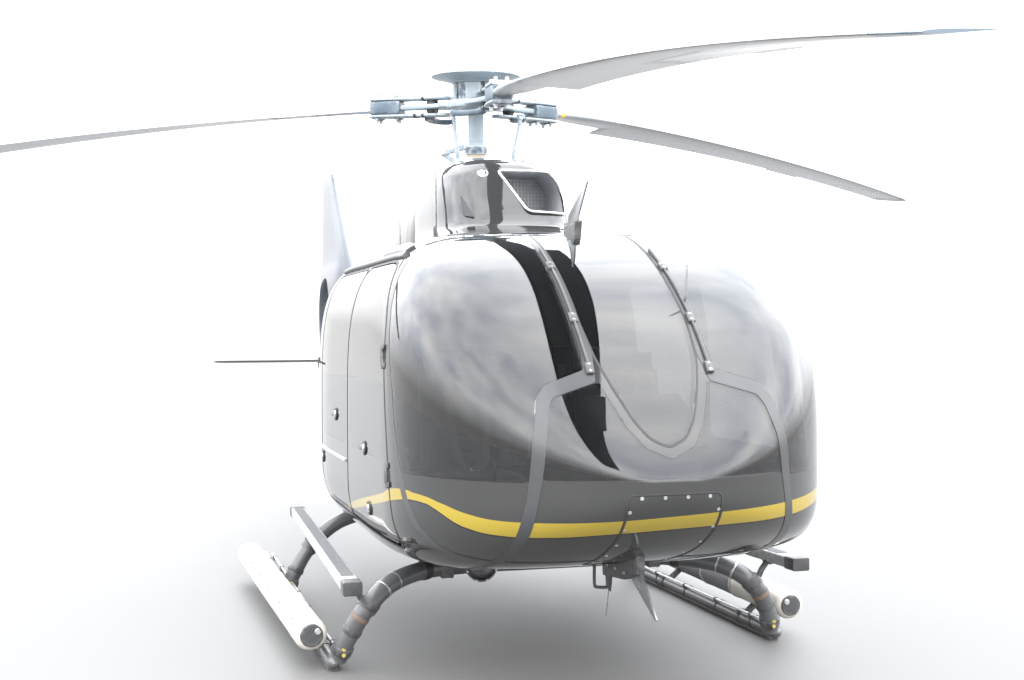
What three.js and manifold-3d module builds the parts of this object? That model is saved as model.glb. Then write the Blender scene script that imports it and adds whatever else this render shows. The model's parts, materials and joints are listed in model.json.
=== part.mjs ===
// Light single-engine helicopter with a wide cabin, a three-bladed rotor and a shrouded tail fan.
// Millimetres, +Z up, nose towards -Y, the crew's left (port) side towards +X.
// All sizes below are taken from the point on the ground under the rotor hub;
// the last lines move the whole machine so that its origin is the middle of its footprint box.
import * as THREE from 'three';
import { mergeVertices } from 'three/addons/utils/BufferGeometryUtils.js';
import Module from 'manifold-3d';

const wasm = await Module();
wasm.setup();

// Driving dimensions
const SEAT_GAP = 0.4;            // between pieces that rest in or on each other
const DOOR_GAP = 6;              // around a hinged door
const WALL = 40;                 // cabin walls and doors
const PANE = 12;                 // acrylic panes
const CABIN = {
  nose: -3264, halfWidth: 1034, roof: 2187, belly: 497, waist: 1041, upperPower: 4.69, lowerPower: 4.4,
  sideFull: -2161, roofFull: -1646, bellyFull: -1571, taperFrom: -533, taperTo: 2600,
  taperWidth: 0.711, taperRise: 811, waistRise: 640, roofFall: 130, bulkhead: 160, sides: 28,
};
const NOSE = {                   // how the cabin rounds off ahead: [power, root] of each profile
  side: [2.288, 2.096], roof: [2.04, 1.176], belly: [1.646, 2.341], end: -1500, steps: 8,
};
const FRONT_DOOR = { frontAt1640: -2190, rake: 0.2, rear: -1180, top: 2010, sill: 700, glassSill: 1080 };
const REAR_DOOR = { front: -1176, rear: -60, top: 2010, sill: 700, glassSill: 1080 };
const BAY_DOOR = { front: 330, rear: 1130, top: 1480, sill: 860 };
const DECK = 1700;               // engine deck height
const FLOOR = { top: 665, thickness: 25 };
const ROTOR = {
  y: 90, top: 3312, tilt: 2.33, lean: -0.49, starBelow: 186, azimuth: 29.3,
  radius: 5345, droop: 425, droopPower: 1.85, pitch: 8.9, twist: -13.1, chord: 350, thickness: 34,
  gripFrom: 500, gripTo: 700, neckTo: 1300, fullFrom: 1360,
};
const FAIRING = { rear: 420, top: 2725, wall: 14, mastHole: 80, mastFlange: 100 };
const BOOM = {
  root: { y: 2603, halfWidth: 297, half: 372, z: 1685 }, tip: { y: 5640, halfWidth: 175, half: 210, z: 1625 }, wall: 20,
};
const FAN = { y: 6185, z: 1742, duct: 505, tip: 490, hub: 120, blades: 10 };
const FIN = { top: 3395 };
const STABILISER = { span: 2730, y: 5060, chord: 480, z: 1412, thickness: 46 };
const SKID = { x: 1197, radius: 38, shoe: 8, front: -1765, rear: 1760, sides: 16 };
const CROSS_TUBE_RADIUS = 47;
const FLOAT_PACK = {
  frontX: 1300, rearX: 1370, z: 178, radius: 84, front: -1700, rear: 1000, brackets: [-1300, -150, 850],
};
const STEP = { frontX: 1200, rearX: 1105, front: -2100, rear: 900, top: 500, width: 85, height: 60 };
const SEGMENTS = 16;             // round pieces

const { Vector2, Vector3, Matrix4 } = THREE;
const RAD = Math.PI / 180;

// Paint and stuff: colour, roughness, metalness
const finish = (color, roughness, metalness = 0) =>
  new THREE.MeshStandardMaterial({ color, roughness, metalness });
const blackPaint = () => finish(0x16181b, 0.15);
const greyPaint = () => finish(0x9aa0a6, 0.3);
const tintedAcrylic = () => finish(0x2b3338, 0.05);
const blueGreyMetal = () => finish(0x6e8494, 0.45, 0.4);
const bladeGrey = () => finish(0xb9bec2, 0.5);
const satinBlack = () => finish(0x1d1e20, 0.55);
const seatLeather = () => finish(0x3b3b3f, 0.7);
const darkMetal = () => finish(0x4b4d50, 0.5, 0.6);
const coverCloth = () => finish(0xd9d3c3, 0.8);

// Solids: joining, cutting and turning back into meshes
function solid(geometry) {
  const bare = geometry.index ? geometry.clone() : geometry;
  bare.deleteAttribute('normal');
  bare.deleteAttribute('uv');
  const merged = mergeVertices(bare, 1e-3);
  return new wasm.Manifold(new wasm.Mesh({
    numProp: 3,
    vertProperties: new Float32Array(merged.attributes.position.array),
    triVerts: new Uint32Array(merged.index.array),
  }));
}

function join(pieces) {
  return pieces.reduce((sum, piece) => sum.add(piece));
}

function cut(body, tools) {
  return tools.reduce((rest, tool) => rest.subtract(tool), body);
}

function geometryOf(manifold) {
  const { numProp, vertProperties, triVerts } = manifold.getMesh();
  const positions = new Float32Array((vertProperties.length / numProp) * 3);
  for (let i = 0; i < positions.length / 3; i += 1) {
    for (let k = 0; k < 3; k += 1) positions[3 * i + k] = vertProperties[numProp * i + k];
  }
  const geometry = new THREE.BufferGeometry();
  geometry.setAttribute('position', new THREE.BufferAttribute(positions, 3));
  geometry.setIndex(Array.from(triVerts));
  return geometry;
}

// The same solid on the other side of the centre plane
function mirrored(manifold) {
  const geometry = geometryOf(manifold).scale(-1, 1, 1);
  const corners = geometry.index.array;
  for (let i = 0; i < corners.length; i += 3) [corners[i], corners[i + 1]] = [corners[i + 1], corners[i]];
  return solid(geometry);
}

// Simple shapes as solids
function block(x, y, z) {
  const [[x0, x1], [y0, y1], [z0, z1]] = [x, y, z];
  const geometry = new THREE.BoxGeometry(x1 - x0, y1 - y0, z1 - z0);
  return solid(geometry.translate((x0 + x1) / 2, (y0 + y1) / 2, (z0 + z1) / 2));
}

// A round bar or cone from one point to another
function bar(from, to, radius, endRadius = radius, sides = SEGMENTS) {
  const a = new Vector3(...from);
  const b = new Vector3(...to);
  const geometry = new THREE.CylinderGeometry(endRadius, radius, a.distanceTo(b), sides);
  const along = b.clone().sub(a).normalize();
  const turn = new THREE.Quaternion().setFromUnitVectors(new Vector3(0, 1, 0), along);
  const middle = a.clone().add(b).multiplyScalar(0.5);
  return solid(geometry.applyQuaternion(turn).translate(middle.x, middle.y, middle.z));
}

// A lathe about +Z; the profile is [radius, height] pairs from axis to axis
function turned(profile, sides = 24) {
  const geometry = new THREE.LatheGeometry(profile.map(([r, z]) => new Vector2(r, z)), sides);
  return solid(geometry.rotateX(90 * RAD));
}

// A closed loft through rings of equal length, with flat or pointed ends
function loft(rings) {
  const count = rings[0].length;
  const positions = [];
  const index = [];
  for (const ring of rings) for (const p of ring) positions.push(p.x, p.y, p.z);
  for (let r = 0; r + 1 < rings.length; r += 1) {
    for (let i = 0; i < count; i += 1) {
      const [a, b] = [r * count + i, r * count + ((i + 1) % count)];
      index.push(a, b, b + count, a, b + count, a + count);
    }
  }
  for (const [ring, first, flip] of [[rings[0], 0, true], [rings.at(-1), (rings.length - 1) * count, false]]) {
    const middle = ring.reduce((sum, p) => sum.add(p), new Vector3()).divideScalar(count);
    const centre = positions.length / 3;
    positions.push(middle.x, middle.y, middle.z);
    for (let i = 0; i < count; i += 1) {
      const [a, b] = [first + i, first + ((i + 1) % count)];
      index.push(centre, ...(flip ? [b, a] : [a, b]));
    }
  }
  if (signedVolume(positions, index) < 0) index.reverse();
  const geometry = new THREE.BufferGeometry();
  geometry.setAttribute('position', new THREE.BufferAttribute(new Float32Array(positions), 3));
  geometry.setIndex(index);
  return solid(geometry);
}

function signedVolume(positions, index) {
  const corner = (i) => new Vector3().fromArray(positions, 3 * index[i]);
  let sum = 0;
  for (let i = 0; i < index.length; i += 3) sum += corner(i).dot(corner(i + 1).cross(corner(i + 2)));
  return sum;
}

// A tube along a smooth path
function pipe(points, radius, steps, sides = 12) {
  const path = new THREE.CatmullRomCurve3(points.map((p) => new Vector3(...p)), false, 'centripetal');
  const circle = new THREE.Shape().absarc(0, 0, radius, 0, 2 * Math.PI, false);
  const geometry = new THREE.ExtrudeGeometry(circle, { extrudePath: path, steps, curveSegments: sides / 2 });
  return solid(geometry);
}

// Outlines: lists of [u, v] corners, anticlockwise
function grown(corners, distance) {
  const count = corners.length;
  return corners.map(([u, v], i) => {
    const [pu, pv] = corners[(i + count - 1) % count];
    const [nu, nv] = corners[(i + 1) % count];
    const before = new Vector2(u - pu, v - pv).normalize();
    const after = new Vector2(nu - u, nv - v).normalize();
    const outA = new Vector2(before.y, -before.x);
    const outB = new Vector2(after.y, -after.x);
    const miter = outA.clone().add(outB).divideScalar(1 + outA.dot(outB));
    return [u + miter.x * distance, v + miter.y * distance];
  });
}

function outlineShape(corners, radius = 0) {
  const shape = new THREE.Shape();
  const count = corners.length;
  corners.forEach(([u, v], i) => {
    const here = new Vector2(u, v);
    const before = new Vector2(...corners[(i + count - 1) % count]);
    const after = new Vector2(...corners[(i + 1) % count]);
    const reach = Math.min(radius, here.distanceTo(before) / 2.1, here.distanceTo(after) / 2.1);
    const enter = here.clone().lerp(before, reach / here.distanceTo(before));
    const leave = here.clone().lerp(after, reach / here.distanceTo(after));
    if (i === 0) shape.moveTo(enter.x, enter.y);
    else shape.lineTo(enter.x, enter.y);
    if (radius > 0) shape.quadraticCurveTo(u, v, leave.x, leave.y);
  });
  shape.closePath();
  return shape;
}

const SIDE = new Matrix4().makeBasis(new Vector3(0, 1, 0), new Vector3(0, 0, 1), new Vector3(1, 0, 0));
const FRONT = new Matrix4().makeBasis(new Vector3(1, 0, 0), new Vector3(0, 0, 1), new Vector3(0, -1, 0));

// Prisms: an outline seen from the side (y, z), from ahead (x, z) or from above (x, y)
function sidePrism(corners, x0, x1, radius = 0) {
  const geometry = new THREE.ExtrudeGeometry(outlineShape(corners, radius),
    { depth: x1 - x0, bevelEnabled: false, curveSegments: 3 });
  return solid(geometry.applyMatrix4(SIDE).translate(x0, 0, 0));
}

function frontPrism(corners, y0, y1, radius = 0) {
  const geometry = new THREE.ExtrudeGeometry(outlineShape(corners, radius),
    { depth: y1 - y0, bevelEnabled: false, curveSegments: 3 });
  return solid(geometry.applyMatrix4(FRONT).translate(0, y1, 0));
}

function planPrism(corners, z0, z1, radius = 0) {
  const geometry = new THREE.ExtrudeGeometry(outlineShape(corners, radius),
    { depth: z1 - z0, bevelEnabled: false, curveSegments: 3 });
  return solid(geometry.translate(0, 0, z0));
}

// Cabin and rear fuselage: one smooth body of superellipse sections
const fullness = (y, full, nose, [power, root]) => {
  const s = THREE.MathUtils.clamp((full - y) / (full - nose), 0, 1);
  return Math.max(0, 1 - s ** power) ** (1 / root);
};

function bodySection(y, inset) {
  const nose = CABIN.nose + inset;
  const taper = Math.max(0, (y - CABIN.taperFrom) / (CABIN.taperTo - CABIN.taperFrom)) ** 2;
  const width = CABIN.halfWidth * fullness(y, CABIN.sideFull, nose, NOSE.side) * (1 - CABIN.taperWidth * taper);
  const middle = CABIN.waist + CABIN.waistRise * taper;
  const rise = (CABIN.roof - CABIN.waist) * fullness(y, CABIN.roofFull, nose, NOSE.roof);
  const drop = (CABIN.waist - CABIN.belly) * fullness(y, CABIN.bellyFull, nose, NOSE.belly);
  return {
    halfWidth: Math.max(1, width - inset),
    middle,
    up: Math.max(1, CABIN.waist + rise - CABIN.roofFall * taper - middle - inset),
    down: Math.max(1, middle - (CABIN.waist - drop + CABIN.taperRise * taper) - inset),
  };
}

function bodyRing(y, inset, count = CABIN.sides) {
  const { halfWidth, middle, up, down } = bodySection(y, inset);
  return Array.from({ length: count }, (_, i) => {
    const [c, s] = [Math.cos((2 * Math.PI * i) / count), Math.sin((2 * Math.PI * i) / count)];
    const power = 2 / (s >= 0 ? CABIN.upperPower : CABIN.lowerPower);
    const rise = (s >= 0 ? up : down) * Math.sign(s) * Math.abs(s) ** power;
    return new Vector3(halfWidth * Math.sign(c) * Math.abs(c) ** power, y, middle + rise);
  });
}

function cabinBody(inset, rear = CABIN.bulkhead) {
  const rings = [];
  const nose = CABIN.nose + inset + 2;
  for (let i = 0; i <= NOSE.steps; i += 1) {
    rings.push(bodyRing(NOSE.end - (NOSE.end - nose) * Math.cos((i / NOSE.steps) * 90 * RAD), inset));
  }
  for (const y of [-533, -150]) rings.push(bodyRing(y, inset));
  rings.push(bodyRing(rear, inset));
  return loft(rings);
}

function rearBody(inset, front, rear = BOOM.root.y - SEAT_GAP) {
  return loft([front, 500, 900, 1300, 1700, 2150, rear].map((y) => bodyRing(y, inset)));
}

// How far out the skin lies at a point of the side above its widest line
function skinOut(y, z) {
  const { halfWidth, middle, up } = bodySection(y, 0);
  return halfWidth * (1 - Math.abs((z - middle) / up) ** CABIN.upperPower) ** (1 / CABIN.upperPower);
}

// Line of the door post seen from the side, as [y, z] from the roof down
const POST_LINE = [
  [-1950, 2400], [-1979, 2016], [-2111, 1860], [-2216, 1712], [-2287, 1566], [-2356, 1413],
  [-2395, 1251], [-2449, 1093], [-2530, 938], [-2593, 848], [-2645, 790],
];
const POST_HALF = 30;            // half the width of the post's band

// Front panes seen from ahead, as [x, z]; the port half of each, or the whole centre pane
const CENTRE_HALF = [[0, 1190], [78, 1224], [132, 1296], [187, 1422], [234, 1560], [252, 1700], [250, 2400]];
const CENTRE_PANE = [...CENTRE_HALF.map(([x, z]) => [-x, z]).reverse(), ...CENTRE_HALF.slice(1)];
const LOWER_PANE = [
  [-540, 1062], [540, 1062], [520, 1228], [492, 1350], [467, 1392], [262, 1452],
  [-262, 1452], [-467, 1392], [-492, 1350], [-520, 1228],
];
const SIDE_PANE = [
  [586, 1050], [1400, 1050], [1400, 2400], [297, 2400], [300, 1508], [484, 1448], [532, 1396], [570, 1228],
];
const BAND = 44;                 // width of the band around the centre pane
const HATCH = [[-185, 618], [185, 618], [206, 720], [206, 985], [190, 1000], [-190, 1000], [-206, 985], [-206, 720]];

// Everything ahead of the door posts' bands
function aheadOfPosts(gap) {
  const line = POST_LINE.map(([y, z]) => [y - POST_HALF - gap, z]).reverse();
  return sidePrism([[-3600, 790], ...line, [-3600, 2400]], -1400, 1400);
}

const doorFront = (z, at = FRONT_DOOR) => at.frontAt1640 + at.rake * (z - 1640);

const frontDoorOutline = [
  [doorFront(FRONT_DOOR.sill), FRONT_DOOR.sill], [FRONT_DOOR.rear, FRONT_DOOR.sill],
  [FRONT_DOOR.rear, FRONT_DOOR.top], [-1905, FRONT_DOOR.top], [-2040, 1860], [doorFront(1690), 1690],
];
const DOOR_RIM = 70;
const frontGlassOutline = [
  [doorFront(FRONT_DOOR.glassSill) + DOOR_RIM, FRONT_DOOR.glassSill],
  [FRONT_DOOR.rear - DOOR_RIM, FRONT_DOOR.glassSill], ...grown(frontDoorOutline, -DOOR_RIM).slice(2),
];
const rearDoorOutline = [
  [REAR_DOOR.front, REAR_DOOR.sill], [REAR_DOOR.rear, REAR_DOOR.sill],
  [REAR_DOOR.rear, REAR_DOOR.top], [REAR_DOOR.front, REAR_DOOR.top],
];
const rearGlassOutline = grown(rearDoorOutline, -DOOR_RIM).map(([y, z]) => [y, Math.max(z, REAR_DOOR.glassSill)]);
const bayDoorOutline = [
  [BAY_DOOR.front, BAY_DOOR.sill], [BAY_DOOR.rear, BAY_DOOR.sill + 90],
  [BAY_DOOR.rear, BAY_DOOR.top], [BAY_DOOR.front, BAY_DOOR.top],
];
const CORNER = 90;               // corner radius of doors and their windows
const SWING = { sill: 8, rear: 5 };   // how far a swinging door's edge dips, and how far it moves aft
const frontPanelOutline = frontDoorOutline.map(([y, z]) => [y, Math.max(z, FRONT_DOOR.sill + SWING.sill)]);
const bayPanelOutline = bayDoorOutline.map(([y, z]) => [Math.min(y, BAY_DOOR.rear - SWING.rear), z]);
const BAY_CORNER = 60;
const portSide = (corners, radius) => sidePrism(corners, 500, 1400, radius);
const baySide = (corners, radius) => sidePrism(corners, 350, 1400, radius);

const cabinOuter = cabinBody(0);
const cabinWall = cabinOuter.subtract(cabinBody(WALL, CABIN.bulkhead - WALL));
const cabinSkin = cabinOuter.subtract(cabinBody(PANE, CABIN.bulkhead));

const centreCutter = (grow) => frontPrism(grown(CENTRE_PANE, grow), -3600, -1700, 30);
const lowerCutter = (grow) => frontPrism(grown(LOWER_PANE, grow), -3600, -2500, 20)
  .subtract(centreCutter(BAND - grow));
const sideCutter = (grow) => frontPrism(grown(SIDE_PANE, grow), -3600, -1700, 30);
const hatchCutter = (grow) => frontPrism(grown(HATCH, grow), -3600, -2500);

// Hinges: a knuckle on the door between two on the frame. Each is built along +Z of the hinge's
// own frame, with +X out of the skin and +Y towards the door.
const HINGE = { out: 8, ahead: 3, radius: 9, doorLength: 60, frameLength: 26, air: 5, tab: 50, depth: 38 };

function hingePlace(out, towards, at) {
  const [x, y] = [new Vector3(...out).normalize(), new Vector3(...towards).normalize()];
  return new Matrix4().makeBasis(x, y, x.clone().cross(y)).setPosition(...at);
}

const frontDoorHinges = [1020, 1560].map((z) => hingePlace(
  [1, 0, 0], [0, 1, -FRONT_DOOR.rake], [CABIN.halfWidth + HINGE.out, doorFront(z) - HINGE.ahead, z]));

const bayHingeZ = BAY_DOOR.top + HINGE.ahead;
const [bayFront, bayRear] = [470, 990].map((y) => [skinOut(y, BAY_DOOR.top), y]);
const bayOut = new Vector2(bayRear[1] - bayFront[1], bayFront[0] - bayRear[0]).normalize();
const bayDoorHinges = [bayFront, bayRear].map(([x, y]) => hingePlace(
  [bayOut.x, bayOut.y, 0], [0, 0, -1], [x + HINGE.out * bayOut.x, y + HINGE.out * bayOut.y, bayHingeZ]));

const doorSpan = [-HINGE.doorLength / 2, HINGE.doorLength / 2];
const frameSpans = [-1, 1].map((side) => {
  const near = side * (HINGE.doorLength / 2 + SEAT_GAP);
  const far = near + side * HINGE.frameLength;
  return [Math.min(near, far), Math.max(near, far)];
});

function knuckle(place, [low, high], towards) {
  const tab = block([-HINGE.depth, 0], towards > 0 ? [HINGE.ahead, HINGE.tab] : [-HINGE.tab, -HINGE.ahead], [low, high]);
  const whole = join([bar([0, 0, low], [0, 0, high], HINGE.radius, HINGE.radius, 10), tab]);
  return solid(geometryOf(whole).applyMatrix4(place));
}

function hingeRoom(place, [low, high]) {
  const radius = HINGE.radius + HINGE.air;
  const room = bar([0, 0, low - HINGE.air], [0, 0, high + HINGE.air], radius, radius, 10);
  return solid(geometryOf(room).applyMatrix4(place));
}

const frameKnuckles = (places) => places.flatMap((place) => frameSpans.map((span) => knuckle(place, span, -1)));
const frameRooms = (places) => places.map((place) => hingeRoom(place, doorSpan));
const doorKnuckles = (places) => places.map((place) => knuckle(place, doorSpan, 1));
const doorRooms = (places) => places.flatMap((place) => frameSpans.map((span) => hingeRoom(place, span)));

function cabinFrame() {
  const sideCuts = [
    sideCutter(0).intersect(aheadOfPosts(0)),
    portSide(grown(frontDoorOutline, DOOR_GAP), CORNER),
    portSide(rearDoorOutline, CORNER),
    ...frameRooms(frontDoorHinges),
  ];
  const rail = sidePrism([[-1960, 2036], [-90, 2036], [-90, 2062], [-1960, 2062]], 740, 905);
  const extras = [rail.subtract(cabinBody(WALL - 4)), ...frameKnuckles(frontDoorHinges)];
  const shell = cut(cabinWall, [
    centreCutter(0).intersect(aheadOfPosts(0)), lowerCutter(0), hatchCutter(0),
    ...sideCuts, ...sideCuts.map(mirrored),
  ]);
  return join([shell, ...extras, ...extras.map(mirrored)]);
}

function frontDoor() {
  const panel = cabinWall.intersect(portSide(frontPanelOutline, CORNER));
  const opened = cut(panel, [portSide(frontGlassOutline, CORNER), ...doorRooms(frontDoorHinges)]);
  return join([opened, ...doorKnuckles(frontDoorHinges)]);
}

function frontDoorPane() {
  return cabinSkin.intersect(portSide(grown(frontGlassOutline, -SEAT_GAP), CORNER));
}

function rearDoor() {
  const panel = cabinWall.intersect(portSide(grown(rearDoorOutline, -SEAT_GAP), CORNER));
  return panel.subtract(portSide(rearGlassOutline, CORNER));
}

function rearDoorPane() {
  return cabinSkin.intersect(portSide(grown(rearGlassOutline, -SEAT_GAP), CORNER));
}

function centrePane() {
  return cabinSkin.intersect(centreCutter(-SEAT_GAP)).intersect(aheadOfPosts(SEAT_GAP));
}

function lowerPane() {
  return cabinSkin.intersect(lowerCutter(-SEAT_GAP));
}

function sidePane() {
  return cabinSkin.intersect(sideCutter(-SEAT_GAP)).intersect(aheadOfPosts(SEAT_GAP));
}

function noseHatch() {
  return cabinWall.intersect(hatchCutter(-SEAT_GAP));
}

function cabinFloor() {
  const slab = block([-1200, 1200], [-2700, CABIN.bulkhead - WALL - SEAT_GAP], [FLOOR.top - FLOOR.thickness, FLOOR.top]);
  return slab.intersect(cabinBody(WALL + 1, CABIN.bulkhead - WALL - SEAT_GAP));
}

// Rear fuselage: baggage bays on each side, the engine deck and its open well
function rearFuselage() {
  const front = CABIN.bulkhead + SEAT_GAP;
  const outer = rearBody(0, front);
  const shell = outer.subtract(rearBody(WALL, front + WALL, BOOM.root.y + WALL));
  const inside = rearBody(WALL - 2, front + 1);
  const inner = [
    block([-900, 900], [front, 1240], [DECK, DECK + 30]),
    block([-15, 15], [front, 1200], [500, DECK + 10]),
    block([-900, 900], [1200, 1230], [500, DECK + 10]),
  ].map((piece) => piece.intersect(inside));
  const well = block([-340, 340], [420, 1950], [DECK + 60, 2400]);
  const bay = [baySide(grown(bayDoorOutline, DOOR_GAP), BAY_CORNER), ...frameRooms(bayDoorHinges)];
  const opened = cut(join([shell, ...inner]), [well, ...bay, ...bay.map(mirrored)]);
  const knuckles = frameKnuckles(bayDoorHinges);
  return join([opened, ...knuckles, ...knuckles.map(mirrored)]);
}

function bayDoor() {
  const front = CABIN.bulkhead + SEAT_GAP;
  const shell = rearBody(0, front).subtract(rearBody(WALL, front, BOOM.root.y + WALL));
  const panel = shell.intersect(baySide(bayPanelOutline, BAY_CORNER));
  return join([cut(panel, doorRooms(bayDoorHinges)), ...doorKnuckles(bayDoorHinges)]);
}

function engine() {
  return block([-230, 230], [480, 1180], [DECK + 30 + SEAT_GAP, DECK + 560]);
}

// Fairing round the rotor mast with the air intake on the port side of its face
function fairingForm(inset) {
  const levels = [        // height, front, rear, half width, corner power
    [2080, -1240, 425, 450, 3.2], [2200, -1130, 425, 430, 3.2], [2290, -900, 425, 408, 3.6],
    [2450, -800, 425, 396, 3.8], [2590, -715, 425, 376, 3.5], [2655, -655, 425, 340, 3.1],
    [2698, -565, 425, 285, 2.8], [FAIRING.top, -440, 425, 215, 2.5],
  ];
  return loft(levels.map(([z, front, rear, halfWidth, power], i) => {
    const height = i === levels.length - 1 ? z - inset : z;
    const middle = (front + rear) / 2;
    return Array.from({ length: 24 }, (_, k) => {
      const [c, s] = [Math.cos((2 * Math.PI * k) / 24), Math.sin((2 * Math.PI * k) / 24)];
      const x = (halfWidth - inset) * Math.sign(c) * Math.abs(c) ** (2 / power);
      const y = middle + ((rear - front) / 2 - inset) * Math.sign(s) * Math.abs(s) ** (2 / power);
      return new Vector3(x, y, height);
    });
  }));
}

const INTAKE = [[72, 2366], [328, 2360], [345, 2510], [276, 2622], [-72, 2620]];

function mastFairing() {
  const shell = fairingForm(0).subtract(fairingForm(FAIRING.wall));
  const intake = frontPrism(INTAKE, -1300, -300, 24);
  const mastHole = bar([0, ROTOR.y, FAIRING.top - 60], [0, ROTOR.y, FAIRING.top + 60], FAIRING.mastHole);
  const stem = block([-1200, 1200], [-2000, FAIRING.rear + 2], [1900, 2900]);
  return cut(shell.intersect(stem), [intake, mastHole, cabinBody(-SEAT_GAP), rearBody(-SEAT_GAP, CABIN.bulkhead)]);
}

function cowlForm(inset) {
  const stations = [      // y, half width, top, power
    [FAIRING.rear + 2 + SEAT_GAP, 398, 2722, 3.4], [800, 405, 2670, 3.2], [1250, 392, 2560, 3],
    [1700, 360, 2430, 2.8], [2150, 300, 2270, 2.6], [2480, 225, 2130, 2.4],
  ];
  const base = 1960;
  return loft(stations.map(([y, halfWidth, top, power], i) => Array.from({ length: 24 }, (_, k) => {
    const [c, s] = [Math.cos((2 * Math.PI * k) / 24), Math.sin((2 * Math.PI * k) / 24)];
    const half = s >= 0 ? top - base - inset : 200;
    return new Vector3(
      (halfWidth - inset) * Math.sign(c) * Math.abs(c) ** (2 / power),
      inset > 0 && (i === 0 || i === stations.length - 1) ? y + (i === 0 ? -5 : -inset) : y,
      base + half * Math.sign(s) * Math.abs(s) ** (2 / power),
    );
  })));
}

function engineCowl() {
  const shell = cowlForm(0).subtract(cowlForm(FAIRING.wall));
  const above = block([-1200, 1200], [0, 3000], [1900, 3000]);
  return cut(shell.intersect(above), [rearBody(-SEAT_GAP, CABIN.bulkhead), exhaustBore(127 + SEAT_GAP)]);
}

const EXHAUST = { from: [0, 1560, 2330], to: [0, 2240, 2440], outer: 127, inner: 112 };
const exhaustBore = (radius) => bar(EXHAUST.from, EXHAUST.to, radius, radius, 20);

function exhaustPipe() {
  const [x, y, z] = EXHAUST.to;
  const [fx, fy, fz] = EXHAUST.from;
  const beyond = [x, y + 20, z + 3.2];
  return exhaustBore(EXHAUST.outer).subtract(bar([fx, fy + 30, fz + 4.9], beyond, EXHAUST.inner, EXHAUST.inner, 20));
}

// Tail
function boomForm(inset) {
  const { root, tip } = BOOM;
  return loft([0, 0.35, 0.7, 1].map((f) => {
    const at = (key) => THREE.MathUtils.lerp(root[key], tip[key], f);
    const power = THREE.MathUtils.lerp(3.6, 2.1, Math.min(1, f * 1.6));
    return Array.from({ length: 24 }, (_, k) => {
      const [c, s] = [Math.cos((2 * Math.PI * k) / 24), Math.sin((2 * Math.PI * k) / 24)];
      return new Vector3(
        (at('halfWidth') - inset) * Math.sign(c) * Math.abs(c) ** (2 / power),
        at('y'), at('z') + (at('half') - inset) * Math.sign(s) * Math.abs(s) ** (2 / power),
      );
    });
  }));
}

function tailBoom() {
  const hollow = boomForm(BOOM.wall).intersect(block([-600, 600], [BOOM.root.y - 100, 4700], [900, 2400]));
  return cut(boomForm(0), [hollow, finForm(SEAT_GAP), stabiliserForm(SEAT_GAP)]);
}

// Fin and fan shroud in one: plan sections from the bottom bumper to the fin's top
function finForm(grow) {
  const levels = [        // height, leading edge, trailing edge, full thickness
    [1120, 5820, 6560, 90], [1190, 5660, 6800, 200], [1350, 5500, 7000, 290], [1560, 5420, 7090, 330],
    [1742, 5400, 7130, 336], [1930, 5400, 7160, 330], [2140, 5410, 7175, 300], [2290, 5440, 7185, 250],
    [2430, 5500, 7190, 190], [2620, 5650, 7195, 150], [3000, 6075, 7203, 112], [3340, 6440, 7210, 84],
    [FIN.top, 6500, 7206, 50],
  ];
  return loft(levels.map(([z, front, rear, thickness]) => {
    const chord = rear - front + 2 * grow;
    const half = thickness / 2 + grow;
    const outline = [[0, 0], [0.03, 0.5], [0.12, 0.86], [0.3, 1], [0.55, 0.96], [0.8, 0.66], [1, 0.16]];
    const sideways = (sign) => outline.map(([f, t]) => new Vector3(sign * t * half, front - grow + f * chord, z));
    return [...sideways(1), ...sideways(-1).slice(1).reverse()];
  }));
}

function finAndShroud() {
  const duct = bar([-300, FAN.y, FAN.z], [300, FAN.y, FAN.z], FAN.duct, FAN.duct, 36);
  const lips = [-1, 1].map((side) => bar(
    [side * 110, FAN.y, FAN.z], [side * 190, FAN.y, FAN.z], FAN.duct, FAN.duct + 60, 36));
  return cut(finForm(0), [duct, ...lips]);
}

function stabiliserForm(grow) {
  const sections = [[-1, 0.55], [-0.97, 0.9], [-0.9, 1], [0.9, 1], [0.97, 0.9], [1, 0.55]];
  const outline = [[0, 0], [0.04, 0.5], [0.15, 0.92], [0.35, 1], [0.7, 0.62], [1, 0.12]];
  const { y, chord, z, thickness } = STABILISER;
  return loft(sections.map(([f, scale]) => {
    const half = (thickness / 2) * scale + grow;
    const length = chord * (0.86 + 0.14 * scale) + 2 * grow;
    const row = (sign) => outline.map(([c, t]) => new Vector3(
      (f * STABILISER.span) / 2, y + (c - 0.4) * length, z + sign * t * half));
    return [...row(1), ...row(-1).slice(1).reverse()];
  }));
}

function fanRotor() {
  const hub = bar([-95, 0, 0], [-10, 0, 0], FAN.hub, FAN.hub, 20);
  const cap = bar([-125, 0, 0], [-94, 0, 0], FAN.hub * 0.55, FAN.hub, 20);
  const blades = Array.from({ length: FAN.blades }, (_, i) => {
    const shape = (radius, chord, pitch) => [[-0.5, 0], [0, 9], [0.5, 0], [0, -5]].map(([c, t]) => {
      const [u, v] = [c * chord, t];
      const turn = pitch * RAD;
      return new Vector3(
        -52 + u * Math.sin(turn) + v * Math.cos(turn), u * Math.cos(turn) - v * Math.sin(turn), radius);
    });
    const blade = loft([shape(FAN.hub - 12, 56, 38), shape(300, 60, 26), shape(FAN.tip, 60, 14)]);
    const angle = (i / FAN.blades) * 2 * Math.PI;
    return solid(geometryOf(blade).rotateX(angle));
  });
  return join([hub, cap, ...blades]);
}

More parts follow.
